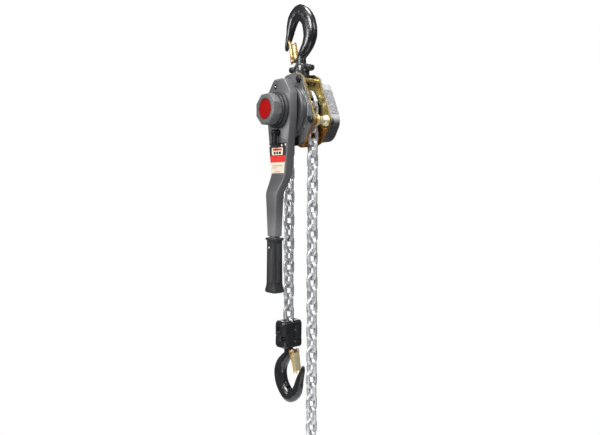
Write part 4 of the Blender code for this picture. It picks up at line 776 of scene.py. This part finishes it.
def build_gear_cover():
    """Deep cast case on a flange, rounder below, with sunk nut seats and a data plate."""
    low, high = box_about_axis("gear_cover")
    face, end = low.x, high.x
    flange = plate(inset(rounded(mirrored(frame_half()), PLATE_CORNER), 1.5 * MM), face, face + 2.5 * MM,
        [circle(4.9 * MM, SMALL, place) for place in STAYS.values()])
    half = mm((33, 76), (77, -24), (48, -72))
    radii = [12 * MM, 36 * MM, 30 * MM]
    outline = rounded(mirrored(half), radii + radii[::-1], 8)
    fillet = 6 * MM
    sections = [(face + 1.2 * MM, outline), (end - fillet, inset(outline, 0.4 * MM))]
    for angle in (22, 45, 68, 90):
        turn = math.radians(angle)
        sections.append((end - fillet + fillet * math.sin(turn),
            inset(outline, 0.4 * MM + fillet * (1 - math.cos(turn)))))
    case = stack(sections)
    seats = [bar(10.4 * MM, face + 2.6 * MM, face + 12.6 * MM, place, SLIVER) for place in STAYS.values()]
    hollow_outline = inset(outline, 2.8 * MM)
    hollow = stack([(face - 2 * MM, hollow_outline), (end - 9 * MM, hollow_outline),
        (end - 2.6 * MM, inset(hollow_outline, 5 * MM))])
    walls = [bar(12.4 * MM, face - 3 * MM, face + 14.6 * MM, place, SLIVER) for place in STAYS.values()]
    shell = cut(join(flange, cut(case, merged(seats))), cut(hollow, merged(walls)))
    bosses = [lathe(offset(end, (-1.5, 0.2), (-1.5, 12), (-0.6, 11), (-0.05, 9.5), (-0.05, 0.2)), MEDIUM,
        centre) for centre in ((0, 0), (0, 37.6 * MM), (0, -37.6 * MM))]
    add("gear_cover_casting", join(shell, merged(bosses)), "frame", "case", bevel=0.7 * MM,
        angle=38, replaces=["gear_cover"])
    # The plate lies on the sloping front wall, which runs from the first corner to the second.
    start, stop = Vector((0, -half[0][0], half[0][1])), Vector((0, -half[1][0], half[1][1]))
    down = (stop - start).normalized()
    out = Vector((0, down.z, -down.y))
    centre = start.lerp(stop, 0.5) + Vector(((face + end) / 2 + 1 * MM, 0, 0)) - out * 0.6 * MM
    corners = rounded(mm((-15, -33), (15, -33), (15, 33), (-15, 33)), 2.5 * MM)
    tag = plate(corners, 0.0, 1.5 * MM)
    axes = Matrix((out, Vector((1, 0, 0)), down)).transposed().to_4x4()
    add("gear_data_plate", tag, "frame", "plate", bevel=0.3 * MM,
        matrix=Matrix.Translation(centre) @ axes)


def build_rollers():
    """Waisted guide rollers with thrust washers."""
    for name, side in (("front", -1), ("rear", 1)):
        end = 17 * MM
        profile = [(-end, 4.8 * MM), (-end, 12.6 * MM), (-end + 1.2 * MM, 13.9 * MM),
            (-end + 3.6 * MM, 13.9 * MM), (-end + 5 * MM, 13.2 * MM)]
        for step in range(7):
            angle = math.pi * step / 6
            profile.append((-9.5 * MM * math.cos(angle), 12.6 * MM - 2.9 * MM * math.sin(angle)))
        profile += [(-x, r) for x, r in reversed(profile[:5])]
        add("guide_roller_turned_" + name, lathe(profile, 48), "guide_roller_" + name, "latch",
            joint_place("guide_roller_spin_" + name), ["guide_roller_" + name])
        washer = [lathe(offset(x, (0, 4.6), (0, 9.5), (1.5, 9.5), (1.5, 4.6)), MEDIUM,
            (side * SIDE_STAY[0], SIDE_STAY[1])) for x in (-19.5 * MM, 18 * MM)]
        add("roller_washers_" + name, merged(washer), "frame", "gold",
            bevel=0.2 * MM)


def build_yoke():
    """Top yoke in two forged halves with round bosses, and its two bolts."""
    pivot = joint_place("frame_pivot")
    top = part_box("top_yoke_left")[1].z - pivot.z
    hub = [(-10, 8), (-9.2, 12), (-6, 16.5), (0, 19), (5, 20.2), (14, 20.2), (30, 19.6), (36, 18.2)]
    rings = [[(r * MM * math.cos(a), r * MM * math.sin(a), z * MM)
        for a in (2 * math.pi * step / 48 for step in range(48))]
        for z, r in [*hub, (top / MM - 0.4, 15.5)]]
    ear = rounded(mm((-36, 22), (36, 22), (36, 37), (-36, 37)), 7 * MM)
    ears = plate(ear, -7 * MM, 7 * MM)
    bosses = [bar(8 * MM, -9 * MM, 9 * MM, (y, 30 * MM), 1 * MM) for y in (-30 * MM, 30 * MM)]
    solid = join(loft(rings), ears, merged(bosses))
    neck = moved(bar(11.6 * MM, 26 * MM, top + 5 * MM, chamfer=SLIVER), TO_Z)
    collar = moved(bar(16.4 * MM, 24 * MM, 34.6 * MM, chamfer=SLIVER), TO_Z)
    pin = bar(6.8 * MM, -30 * MM, 30 * MM, chamfer=SLIVER)
    holes = [bar(5.1 * MM, -30 * MM, 30 * MM, (y, 30 * MM), SLIVER) for y in (-30 * MM, 30 * MM)]
    solid = cut(solid, neck, collar, pin, merged(holes))
    for name, side in (("left", -1), ("right", 1)):
        keep_low, keep_high = sorted((side * 0.15 * MM, side * 40 * MM))
        square = mm((-50, -30), (50, -30), (50, 60), (-50, 60))
        piece = combine('INTERSECT', solid.copy(), [plate(square, keep_low, keep_high)])
        add("yoke_forging_" + name, piece, "top_yoke", "forged", pivot,
            ["top_yoke_" + name], bevel=0.6 * MM, angle=40)
    for name, y in (("front", -30 * MM), ("rear", 30 * MM)):
        centre = (y, 30 * MM)
        shank = bar(4.9 * MM, -9 * MM, 9 * MM, centre, count=SMALL)
        ends = [nut_and_end(s * 9.2 * MM, 12.5 * MM, 3.2 * MM, 4.4 * MM, s, centre) for s in (-1, 1)]
        add("yoke_bolt_" + name, merged([shank, *ends]), "top_yoke", "black",
            pivot, ["top_yoke_bolt_" + name], bevel=0.3 * MM)


# ---------------------------------------------------------------- handwheel and lever
def octagon(flats, corner, steps=3):
    """Octagon with softened corners, a flat at the top."""
    radius = flats / 2 / math.cos(math.pi / 8)
    points = [(radius * math.cos(math.radians(22.5 + 45 * k)), radius * math.sin(math.radians(22.5 + 45
        * k))) for k in range(8)]
    return rounded(points, corner, steps)


def build_handwheel():
    """Octagonal knob with a sunk face, stepped into a round flange."""
    low, high = box_about_axis("handwheel")
    face, flange = low.x, high.x
    back = face + 25 * MM
    turned = mm((0.5, 38), (1.4, 39), (5.8, 39), (6.4, 38.4), (6.5, 41.5), (7.3, 43.2), (8.4, 44), (13, 44),
        (14, 43))
    sections = [(face, octagon(65 * MM, 2 * MM)), (face + 1.6 * MM, octagon(71 * MM, 2 * MM)),
        (face + 3 * MM, octagon(72 * MM, 2 * MM)), (back - 2 * MM, octagon(72 * MM, 2 * MM)),
        (back, octagon(69 * MM, 2 * MM))]
    head = stack(sections)
    skirt = stack([(back - 1 * MM, circle(30 * MM, FINE))] + [(back + x, circle(r, FINE))
        for x, r in turned])
    skirt = cut(skirt, bar(8 * MM, face, flange + 5 * MM, chamfer=SLIVER))
    seat = lathe([(face - 1 * MM, SLIVER), (face - 1 * MM, 26.5 * MM), (face + 0.6 * MM, 25.4 * MM),
        (face + 3 * MM, 25.2 * MM), (face + 3 * MM, 15 * MM), (face + 16 * MM, 15 * MM),
        (face + 16 * MM, 8 * MM), (face + 40 * MM, 8 * MM), (face + 40 * MM, SLIVER)])
    notches = []
    for k in range(8):
        turn = Matrix.Rotation(math.radians(22.5 + 45 * k), 4, 'X')
        notches.append(moved(plate(mm((35.5, -4), (44, -4), (44, 4), (35.5, 4)), back - 6 * MM,
            back + 1 * MM), turn))
    head = cut(head, seat, merged(notches))
    add("handwheel_head", head, "drive", "knob", bevel=0.6 * MM, replaces=["handwheel"])
    add("handwheel_skirt", skirt, "drive", "knob_dark", bevel=0.3 * MM, angle=50)
    low, high = box_about_axis("handwheel_insert")
    out = low.x
    rim = [(high.x, 0.3 * MM), (high.x, 23.6 * MM), (out + 0.4 * MM, 23.6 * MM), (out, 23 * MM),
        (out + 0.3 * MM, 21.8 * MM), (out + 0.9 * MM, 21.4 * MM), (out + 0.5 * MM, 16 * MM),
        (out + 0.3 * MM, 8 * MM), (out + 0.25 * MM, 0.3 * MM)]
    add("handwheel_insert_cap", lathe(rim, 96), "drive", "red",
        replaces=["handwheel_insert"])
    collar = offset(face, (2.9, 23.9), (2.9, 25), (0.7, 25), (0.9, 23.9))
    add("handwheel_seal", lathe(collar, 96), "drive", "rubber")


LEVER_DEPTH = 23 * MM
LEVER_OFFSET = 21.5 * MM            # sideways step between the lever's head and its grip
SCREW_PLACE = (10.4 * MM, 57 * MM)


def lever_ring(z, half, front, back, corner=3.2 * MM, steps=3):
    """Lever's section at a height: a rectangle with rounded edges."""
    outline = rounded([(front, half), (front, -half), (back, -half), (back, half)], corner, steps)
    return [(x, y, z) for x, y in outline]


def build_lever():
    """Forged lever, hollow behind the change gear, stepped outwards above the grip."""
    back = box_about_axis("lever_arm")[1].x
    front = back - LEVER_DEPTH
    out = LEVER_OFFSET
    stations = [(75, 17, 0), (74, 19.5, 0), (70, 23.5, 0), (42, 45, 0), (38, 46, 0), (-15, 46, 0),
        (-45, 42.5, 0), (-75, 38.3, 0), (-108, 34, 0), (-135, 30.5, 0), (-150, 28.6, 0), (-156, 28, 0.05),
        (-162, 27.4, 0.16), (-178, 25.6, 0.5), (-193, 24, 0.84), (-199, 23.2, 0.95), (-205, 22.5, 1),
        (-240, 19.6, 1), (-290, 16, 1), (-304.5, 15.2, 1)]
    rings = [lever_ring(z * MM, half * MM, front - out * step, back - out * step)
        for z, half, step in stations]
    for z, half in ((-305, 12), (-425, 10.5)):
        rings.append(lever_ring(z * MM, half * MM, front - out + 3 * MM, back - out - 3 * MM))
    hollow = [lever_ring(z * MM, half * MM, front + 3 * MM, back + 4 * MM, 2 * MM)
        for z, half in ((72, 16), (40, 42.8), (-20, 42.8), (-45, 39.3), (-100, 32))]
    hub = bar(22 * MM, front - 2 * MM, front + 5 * MM, chamfer=SLIVER, count=FINE)
    shaft = bar(5.4 * MM, front - 2 * MM, front + 5 * MM, (0, -54.5 * MM), SLIVER)
    arm = cut(loft(rings), loft(hollow), hub, shaft)
    add("lever_forging", arm, "lever", "lever", replaces=["lever_arm"], bevel=0.5 * MM,
        angle=50)
    screw = lathe(offset(front, (0.5, 0.2), (0.5, 6), (-0.3, 6), (-0.6, 5.4), (-0.5, 0.2)), MEDIUM,
        SCREW_PLACE)
    head = lathe(offset(front, (0, 0.2), (0, 2.4), (-1.6, 2.3), (-2.4, 1.6), (-2.6, 0.2)), SMALL,
        SCREW_PLACE)
    add("lever_screw_washer", screw, "lever", "black")
    add("lever_screw", head, "lever", "bright")
    return front, out


def build_label(front):
    """Generic label: black band with rivets and a white window, red band, cream panel."""
    def strip(name, points, finish, thick, corner=0.4 * MM):
        outline = [(y * MM, z * MM) for y, z in points]
        add(name, plate(rounded(outline, corner, 3), front - thick, front + 0.2 * MM), "lever", finish)

    def width(z):
        return (36.2 + (z + 80) * 0.12, 32 + (z + 80) * 0.115)

    def band(top, bottom):
        (l0, r0), (l1, r1) = width(top), width(bottom)
        return [(l0, top), (-r0, top), (-r1, bottom), (l1, bottom)]

    strip("label_backing", band(-79, -155.5), "cream", 0.35 * MM, 2 * MM)
    strip("label_black_band", band(-79, -110), "black_ink", 0.55 * MM)
    strip("label_red_band", band(-110, -125.5), "red_ink", 0.55 * MM)
    strip("label_window", [(25, -90), (-20, -90.5), (-19, -108.5), (24, -108)], "cream", 0.75 * MM, 1 * MM)
    strip("label_window_bar", [(20.5, -92), (-15.5, -92.5), (-15.3, -97.5), (20.3, -97)], "red_ink",
        0.95 * MM, 1 * MM)
    blocks = ((16, 9), (6, -1), (-4, -12))
    for index, (left, right) in enumerate(blocks):
        strip(f"label_mark_{index + 1}", [(left, -100), (right, -100), (right, -106), (left, -106)],
            "black_ink", 0.95 * MM, 1 * MM)
    for index, (y0, y1, z) in enumerate(((22, -16, -133), (22, 4, -138), (14, -8, -148))):
        strip(f"label_rule_{index + 1}", [(y0, z), (y1, z), (y1, z - 1.4), (y0, z - 1.4)], "red_ink",
            0.5 * MM, 0.3 * MM)
    dots = [(33.5, -84.5), (-29, -84.5), (-15, -85.5)]
    rivets = [lathe(offset(front, (0, 0.2), (0, 2.7), (-1.1, 2.3), (-1.6, 0.2)), SMALL, (y * MM, z * MM))
        for y, z in dots]
    add("label_rivets", merged(rivets), "lever", "white")


def build_grip(front, out):
    """Rubber grip with a flared collar, sunk side panels and a flared foot."""
    low, high = box_about_axis("lever_grip")
    centre = front + 11.5 * MM - out
    top, end = high.z / MM, low.z / MM
    profile = [(0, 17.5, 14.2), (0.8, 19, 15.4), (2.2, 19.5, 16), (4.6, 19.3, 15.8), (6.2, 17.6, 14.4),
        (8, 16.6, 13.5), (12, 16.4, 13.4), (60, 16.6, 13.6), (104, 17, 13.9), (112, 17.2, 14.1),
        (120, 18.2, 15), (125, 19.6, 16.1), (129, 20, 16.5), (131.5, 19.4, 15.9), (133, 18.2, 14.8),
        (134, 16.4, 13)]
    rings = [lever_ring((top - z * (top - end) / 134) * MM, half * MM, centre - deep * MM,
        centre + deep * MM, 5 * MM, 5) for z, half, deep in profile]
    solid = loft(rings)
    pocket = [lever_ring(z * MM, half * MM, centre - 8.8 * MM, centre + 8.8 * MM, 2.4 * MM)
        for z, half in ((top + 2, 12.4), (-426, 11))]
    groove = 0.9 * MM
    panels = []
    for side in (-1, 1):
        face = centre + side * 13.6 * MM
        outer = rounded(mm((-11, -322), (11, -322), (11.5, -418), (-11.5, -418)), 5 * MM)
        ring = plate(outer, face - groove, face + groove, [inset(outer, 1.1 * MM)])
        panels.append(ring)
    flank = rounded(mm((-7.5, -318), (7.5, -318), (8, -420), (-8, -420)), 5 * MM)
    for side in (-1, 1):
        ring = plate(flank, side * 16.7 * MM - groove, side * 16.7 * MM + groove, [inset(flank, 1.1 * MM)])
        panels.append(moved(moved(ring, SWAP), Matrix.Translation((centre, 0, 0))))
    grip = cut(solid, loft(pocket), merged(panels))
    add("grip_sleeve", grip, "lever", "rubber", replaces=["lever_grip"], bevel=0.25 * MM,
        angle=50)
    face = centre - 13.5 * MM
    rivet = lathe(offset(face, (1, 0.2), (1, 2.6), (-0.6, 2.2), (-1.1, 0.2)), SMALL, (4 * MM, -332 * MM))
    add("grip_rivet", rivet, "lever", "white")


def build_selector():
    """Selector with a ball-ended boss, a stepped collar and a rounded arm."""
    place = joint_place("selector_turn")
    low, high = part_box("selector_knob")
    outer, face = low.x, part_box("lever_arm")[1].x - 23.3 * MM
    profile = [(high.x, 0.2 * MM), (high.x, 4.9 * MM), (face, 4.9 * MM), (face, 8.8 * MM),
        (face - 5 * MM, 8.6 * MM), (face - 5.8 * MM, 7.4 * MM), (face - 12 * MM, 7 * MM),
        (outer + 9 * MM, 7.2 * MM)]
    for step in range(1, 7):
        angle = math.radians(15 * step)
        profile.append((outer + 7.6 * MM - 7.5 * MM * math.sin(angle),
            0.2 * MM + 7.4 * MM * math.cos(angle)))
    boss = lathe(profile, 48)
    spots = [(0, 6.4), (-6, 6.6), (-14, 6.2), (-22, 6), (-27, 5.8), (-29.6, 4.6), (-30.6, 2.4)]
    rings = []
    for z, half in spots:
        mid = outer + 8.5 * MM
        outline = rounded([(mid - 4.4 * MM, half * MM), (mid - 4.4 * MM, -half * MM),
            (mid + 4.4 * MM, -half * MM), (mid + 4.4 * MM, half * MM)], 2.2 * MM, 4)
        rings.append([(x, y, z * MM) for x, y in outline])
    arm = loft(rings)
    add("selector_lever", join(boss, arm), "selector", "black", place, ["selector_knob"],
        matrix=Matrix.Translation((-place.x, 0, 0)), angle=40)


# ---------------------------------------------------------------- chain and block
PITCH = 30 * MM
SPREAD = 11.5 * MM                  # half width of a link's centre line
LINK_ROOM = 7 * MM                  # half width of the block's slots for a link
FRONT_STRAND = -44.54 * MM
REAR_STRAND = 47.79 * MM


def link_mesh(upright, wire=4.9 * MM, length=PITCH):
    """Welded chain link about its centre, long axis Z, with a weld swell on one side."""
    path, radii = [], []
    crown = length / 2 + 5 * MM - SPREAD
    for end in (1, -1):
        for step in range(9):
            angle = math.pi * step / 8
            path.append(Vector((0, math.cos(angle) * SPREAD * end,
                end * crown + math.sin(angle) * SPREAD * end)))
            radii.append((wire, wire))
        for share in (0.3, 0.45, 0.55, 0.7):
            path.append(Vector((0, -SPREAD * end, end * crown * (1 - 2 * share))))
            swell = 1.09 if end < 0 and 0.4 < share < 0.6 else 1.0
            radii.append((wire * swell, wire * swell))
    mesh = sweep(path, radii, 16, closed=True, normal=Vector((1, 0, 0)))
    return mesh if upright else moved(mesh, Matrix.Rotation(math.radians(90), 4, 'Z'))


def strand_mesh(first, count, y, odd_upright):
    """Hanging links from one index on, counted down from the sheave."""
    links = {flag: link_mesh(flag) for flag in (True, False)}
    return merged([shifted(links[(index % 2 == 1) == odd_upright], 0, y, -index * PITCH)
        for index in range(first, first + count)])


def build_chain():
    """Both strands and the links round the sheave."""
    fixed, load_run, free_run = 3, 13, 34
    step = math.pi / 5
    links = {flag: link_mesh(flag) for flag in (True, False)}
    around = [strand_mesh(1, fixed, FRONT_STRAND, True), strand_mesh(1, fixed, REAR_STRAND, False)]
    for index in range(6):
        upright = index % 2 == 1
        radius = REAR_STRAND if upright else -FRONT_STRAND
        turn = Matrix.Rotation(-step * index, 4, 'X')
        around.append(moved(shifted(links[upright], 0, -radius, 0), turn))
    add("chain_round_sheave", merged(around), "frame", "chain",
        replaces=["chain_on_sheave"])
    add("free_link_forged", strand_mesh(fixed + 1, 1, FRONT_STRAND, True), "free_link", "chain",
        replaces=["free_chain_link"])
    add("free_strand", strand_mesh(fixed + 2, free_run, FRONT_STRAND, True), "free_run", "chain",
        replaces=["free_chain"])
    add("load_link_forged", strand_mesh(fixed + 1, 1, REAR_STRAND, False), "load_link", "chain",
        replaces=["load_chain_link"])
    add("load_strand", strand_mesh(fixed + 2, load_run, REAR_STRAND, False), "load_run", "chain",
        replaces=["load_chain"])
    add("load_last_link", strand_mesh(fixed + load_run + 2, 1, REAR_STRAND, False), "load_block", "chain",
        replaces=["load_end_link"])
    low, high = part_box("chain_end_ring")
    radius = (high.z - low.z) / 2 - 4 * MM
    wire = [(4 * MM * math.cos(a), radius + 4 * MM * math.sin(a))
        for a in (2 * math.pi * k / SMALL for k in range(SMALL))]
    add("end_ring_wire", lathe(wire, 48), "free_run", "chain", (low + high) / 2,
        ["chain_end_ring"])


def build_block():
    """Load block: two forged halves, one with a raised panel, round recesses and rivet bumps."""
    left_low, left_high = box_about_axis("load_yoke_left")
    top, bottom = left_high.z, left_low.z
    y, half = REAR_STRAND, 20 * MM
    reach = box_about_axis("load_yoke_right")[1].x
    height = top - bottom

    def section(shrink):
        corners = [(-half + shrink, bottom + shrink), (half - shrink, bottom + shrink),
            (half - shrink, top - shrink), (-half + shrink, top - shrink)]
        return [(a + y, b) for a, b in rounded(corners, [7 * MM, 9 * MM, 10 * MM, 9 * MM], 5)]

    rings = [(0.15 * MM, section(1.2 * MM)), (1.2 * MM, section(0.0)), (reach - 7 * MM, section(0.0))]
    for angle in (20, 45, 70, 90):
        turn = math.radians(angle)
        rings.append((reach - 7 * MM + 7 * MM * math.sin(turn), section(6 * MM * (1 - math.cos(turn)))))
    body = stack(rings)
    thin = LINK_ROOM
    slot = merged([plate([(y - 17.5 * MM, top - 42 * MM), (y + 17.5 * MM, top - 42 * MM),
        (y + 17.5 * MM, top + 5 * MM), (y - 17.5 * MM, top + 5 * MM)], -thin, thin)])
    flat = plate([(y - thin, top - 24 * MM), (y + thin, top - 24 * MM), (y + thin, top + 5 * MM),
        (y - thin, top + 5 * MM)], -17.5 * MM, 17.5 * MM)
    recess = bar(10.8 * MM, reach - 4.6 * MM, reach + 5 * MM, (y, top - 23 * MM), SLIVER, FINE)
    sockets = [bar(6.3 * MM, reach - 5 * MM, reach + 5 * MM, (y + s * 14.5 * MM, bottom + 26 * MM), SLIVER)
        for s in (-1, 1)]
    neck = moved(bar(11.7 * MM, 0, height, chamfer=SLIVER), Matrix.Translation((0, y,
        bottom - 5 * MM)) @ TO_Z)
    pocket = moved(bar(16.5 * MM, 0, 11 * MM, chamfer=SLIVER), Matrix.Translation((0, y,
        bottom + 8.5 * MM)) @ TO_Z)
    neck = cut(neck, plate([(y - 40 * MM, bottom + 18 * MM), (y + 40 * MM, bottom + 18 * MM),
        (y + 40 * MM, top + 40 * MM), (y - 40 * MM, top + 40 * MM)], -40 * MM, 40 * MM))
    half_mesh = cut(body, slot, flat, recess, merged(sockets), neck, pocket)
    for name, side in (("left", -1), ("right", 1)):
        mesh = half_mesh.copy() if side > 0 else flipped(half_mesh)
        if side > 0:
            panel = rounded([(4 * MM, bottom + 4 * MM), (reach - 6 * MM, bottom + 4 * MM),
                (reach - 6 * MM, top - 12 * MM), (4 * MM, top - 12 * MM)], 5 * MM)
            slab = moved(plate([(-a, b) for a, b in panel], -1.2 * MM, 1.2 * MM), SWAP)
            slab = moved(slab, Matrix.Rotation(math.pi, 4, 'Z'))
            mesh = join(mesh, shifted(slab, 0, y - half + 0.2 * MM))
        add("block_forging_" + name, mesh, "load_block", "forged", bevel=0.7 * MM,
            angle=40, replaces=["load_yoke_" + name])
    studs = [lathe(mm((0, 0.2), (0, 3.4), (1.6, 3), (2.6, 1.6), (2.9, 0.2)), SMALL) for _ in range(2)]
    studs = [shifted(moved(stud, Matrix.Rotation(math.radians(-90), 4, 'Z')), 6 * MM, y - half + 0.8 * MM,
        z) for stud, z in zip(studs, (top - 24 * MM, bottom + 17 * MM))]
    add("block_studs", merged(studs), "load_block", "forged")
    for name, s in (("front", -1), ("rear", 1)):
        centre = (y + s * 14.5 * MM, bottom + 26 * MM)
        seat = reach - 5 * MM + 0.3 * MM
        ends = [nut_and_end(d * seat, 8.8 * MM, 2.4 * MM, 2.8 * MM, d, centre) for d in (-1, 1)]
        shank = bar(2.9 * MM, -seat, seat, centre, count=SMALL)
        add("block_bolt_" + name, merged([shank, *ends]), "load_block", "black",
            replaces=["load_yoke_bolt_" + name], bevel=0.25 * MM)


def build_hidden():
    """Inner pieces keep their CAD shape and get their finish."""
    groups = {
        "steel": ["drive_shaft", "brake_hub", "ratchet_disc", "change_gear", "freewheel_spring", "load_gear",
                  "reduction_gear_upper", "reduction_gear_lower", "brake_pawl_upper", "brake_pawl_lower",
                  "pawl_pin_upper", "pawl_pin_lower", "selector_pawl", "chain_pin", "top_hook_pin"],
        "lining": ["friction_disc_inner", "friction_disc_outer"],
        "bronze": ["sheave_bearing_left", "sheave_bearing_right"],
        "black": ["handwheel_nut", "load_sheave"],
        "gold": ["chain_stripper"],
        "lever": ["lever_back_cover"],
    }
    for finish, nodes in groups.items():
        for node in nodes:
            keep(node, finish)


# ---------------------------------------------------------------- stage
def area_light(name, place, target, size, power):
    """Soft square light aimed at a point."""
    data = bpy.data.lights.new(name, 'AREA')
    data.size = size
    data.energy = power
    thing = bpy.data.objects.new(name, data)
    bpy.context.scene.collection.objects.link(thing)
    thing.location = place
    thing.rotation_euler = (Vector(target) - Vector(place)).to_track_quat('-Z', 'Y').to_euler()


def build_stage():
    """Pale floor, soft studio light and the camera."""
    floor = lathe([(-1.5, 0.001), (-1.5, 0.85), (-1.51, 0.86), (-1.51, 0.001)], 96)
    floor.transform(TO_Z)
    finish = Finish("floor_paper", Roughness=0.7)
    finish.colour(finish.ramp(finish.noise(12, 3), (0.3, (0.78, 0.78, 0.78)), (0.7, (0.84, 0.84, 0.84))))
    floor.materials.append(finish.material)
    stage = bpy.data.objects.new("studio_floor", floor)
    bpy.context.scene.collection.objects.link(stage)

    world = bpy.data.worlds.new("studio")
    bpy.context.scene.world = world
    world.use_nodes = True
    tree = world.node_tree
    backdrop = tree.nodes["Background"]
    backdrop.inputs["Color"].default_value = (1, 1, 1, 1)
    backdrop.inputs["Strength"].default_value = 1.0
    fill = tree.nodes.new("ShaderNodeBackground")
    fill.inputs["Color"].default_value = (0.9, 0.93, 1.0, 1)
    fill.inputs["Strength"].default_value = 0.13
    rays = tree.nodes.new("ShaderNodeLightPath")
    mix = tree.nodes.new("ShaderNodeMixShader")
    tree.links.new(rays.outputs["Is Camera Ray"], mix.inputs[0])
    tree.links.new(fill.outputs[0], mix.inputs[1])
    tree.links.new(backdrop.outputs[0], mix.inputs[2])
    tree.links.new(mix.outputs[0], tree.nodes["World Output"].inputs["Surface"])

    middle = AXIS + Vector((0, 0, -0.25))
    area_light("key", (-2.2, -1.0, 1.5), middle, 1.2, 84)
    area_light("top", (0.1, -0.5, 2.2), middle, 0.9, 60)
    area_light("rim", (0.9, -2.4, 1.3), middle, 1.0, 24)
    area_light("left_strip", (-2.6, 1.0, 0.2), middle, 1.0, 34)
    area_light("low", (-0.6, -1.8, -1.9), middle, 1.0, 8)
    area_light("back", (1.6, 2.2, 1.2), middle, 1.6, 40)

    data = bpy.data.cameras.new("camera")
    data.sensor_width = 36.0
    data.lens = 38.34
    data.clip_start = 0.05
    camera = bpy.data.objects.new("camera", data)
    bpy.context.scene.collection.objects.link(camera)
    azimuth, tilt, roll = math.radians(39.2), math.radians(2.23), math.radians(0.25)
    ahead = Vector((math.sin(azimuth) * math.cos(tilt), math.cos(azimuth) * math.cos(tilt),
        -math.sin(tilt)))
    camera.location = AXIS + Vector((-1.0123, -1.2378, -0.1988))
    turn = ahead.to_track_quat('-Z', 'Y').to_matrix().to_4x4() @ Matrix.Rotation(roll, 4, 'Z')
    camera.rotation_euler = turn.to_euler()
    bpy.context.scene.camera = camera
    bpy.context.scene.view_settings.view_transform = 'Standard'


def build():
    """Build every piece, the stage and the camera."""
    seat = Vector((0, 0, 0))
    build_hook("top", "top_hook", "top_latch", seat, HOOK_TURN @ TURNED_OVER, 3.5, 124)
    load_seat = Vector((0, REAR_STRAND, joint_place("load_latch_hinge").z - LATCH_PIVOT.z))
    build_hook("load", "load_hook", "load_latch", load_seat, HOOK_TURN, 0.6, 126)
    build_yoke()
    build_plates()
    build_brake_cover()
    build_gear_cover()
    build_stays(STAYS)
    build_rollers()
    build_handwheel()
    front, out = build_lever()
    build_label(front)
    build_grip(front, out)
    build_selector()
    build_chain()
    build_block()
    build_hidden()
    build_stage()


build()
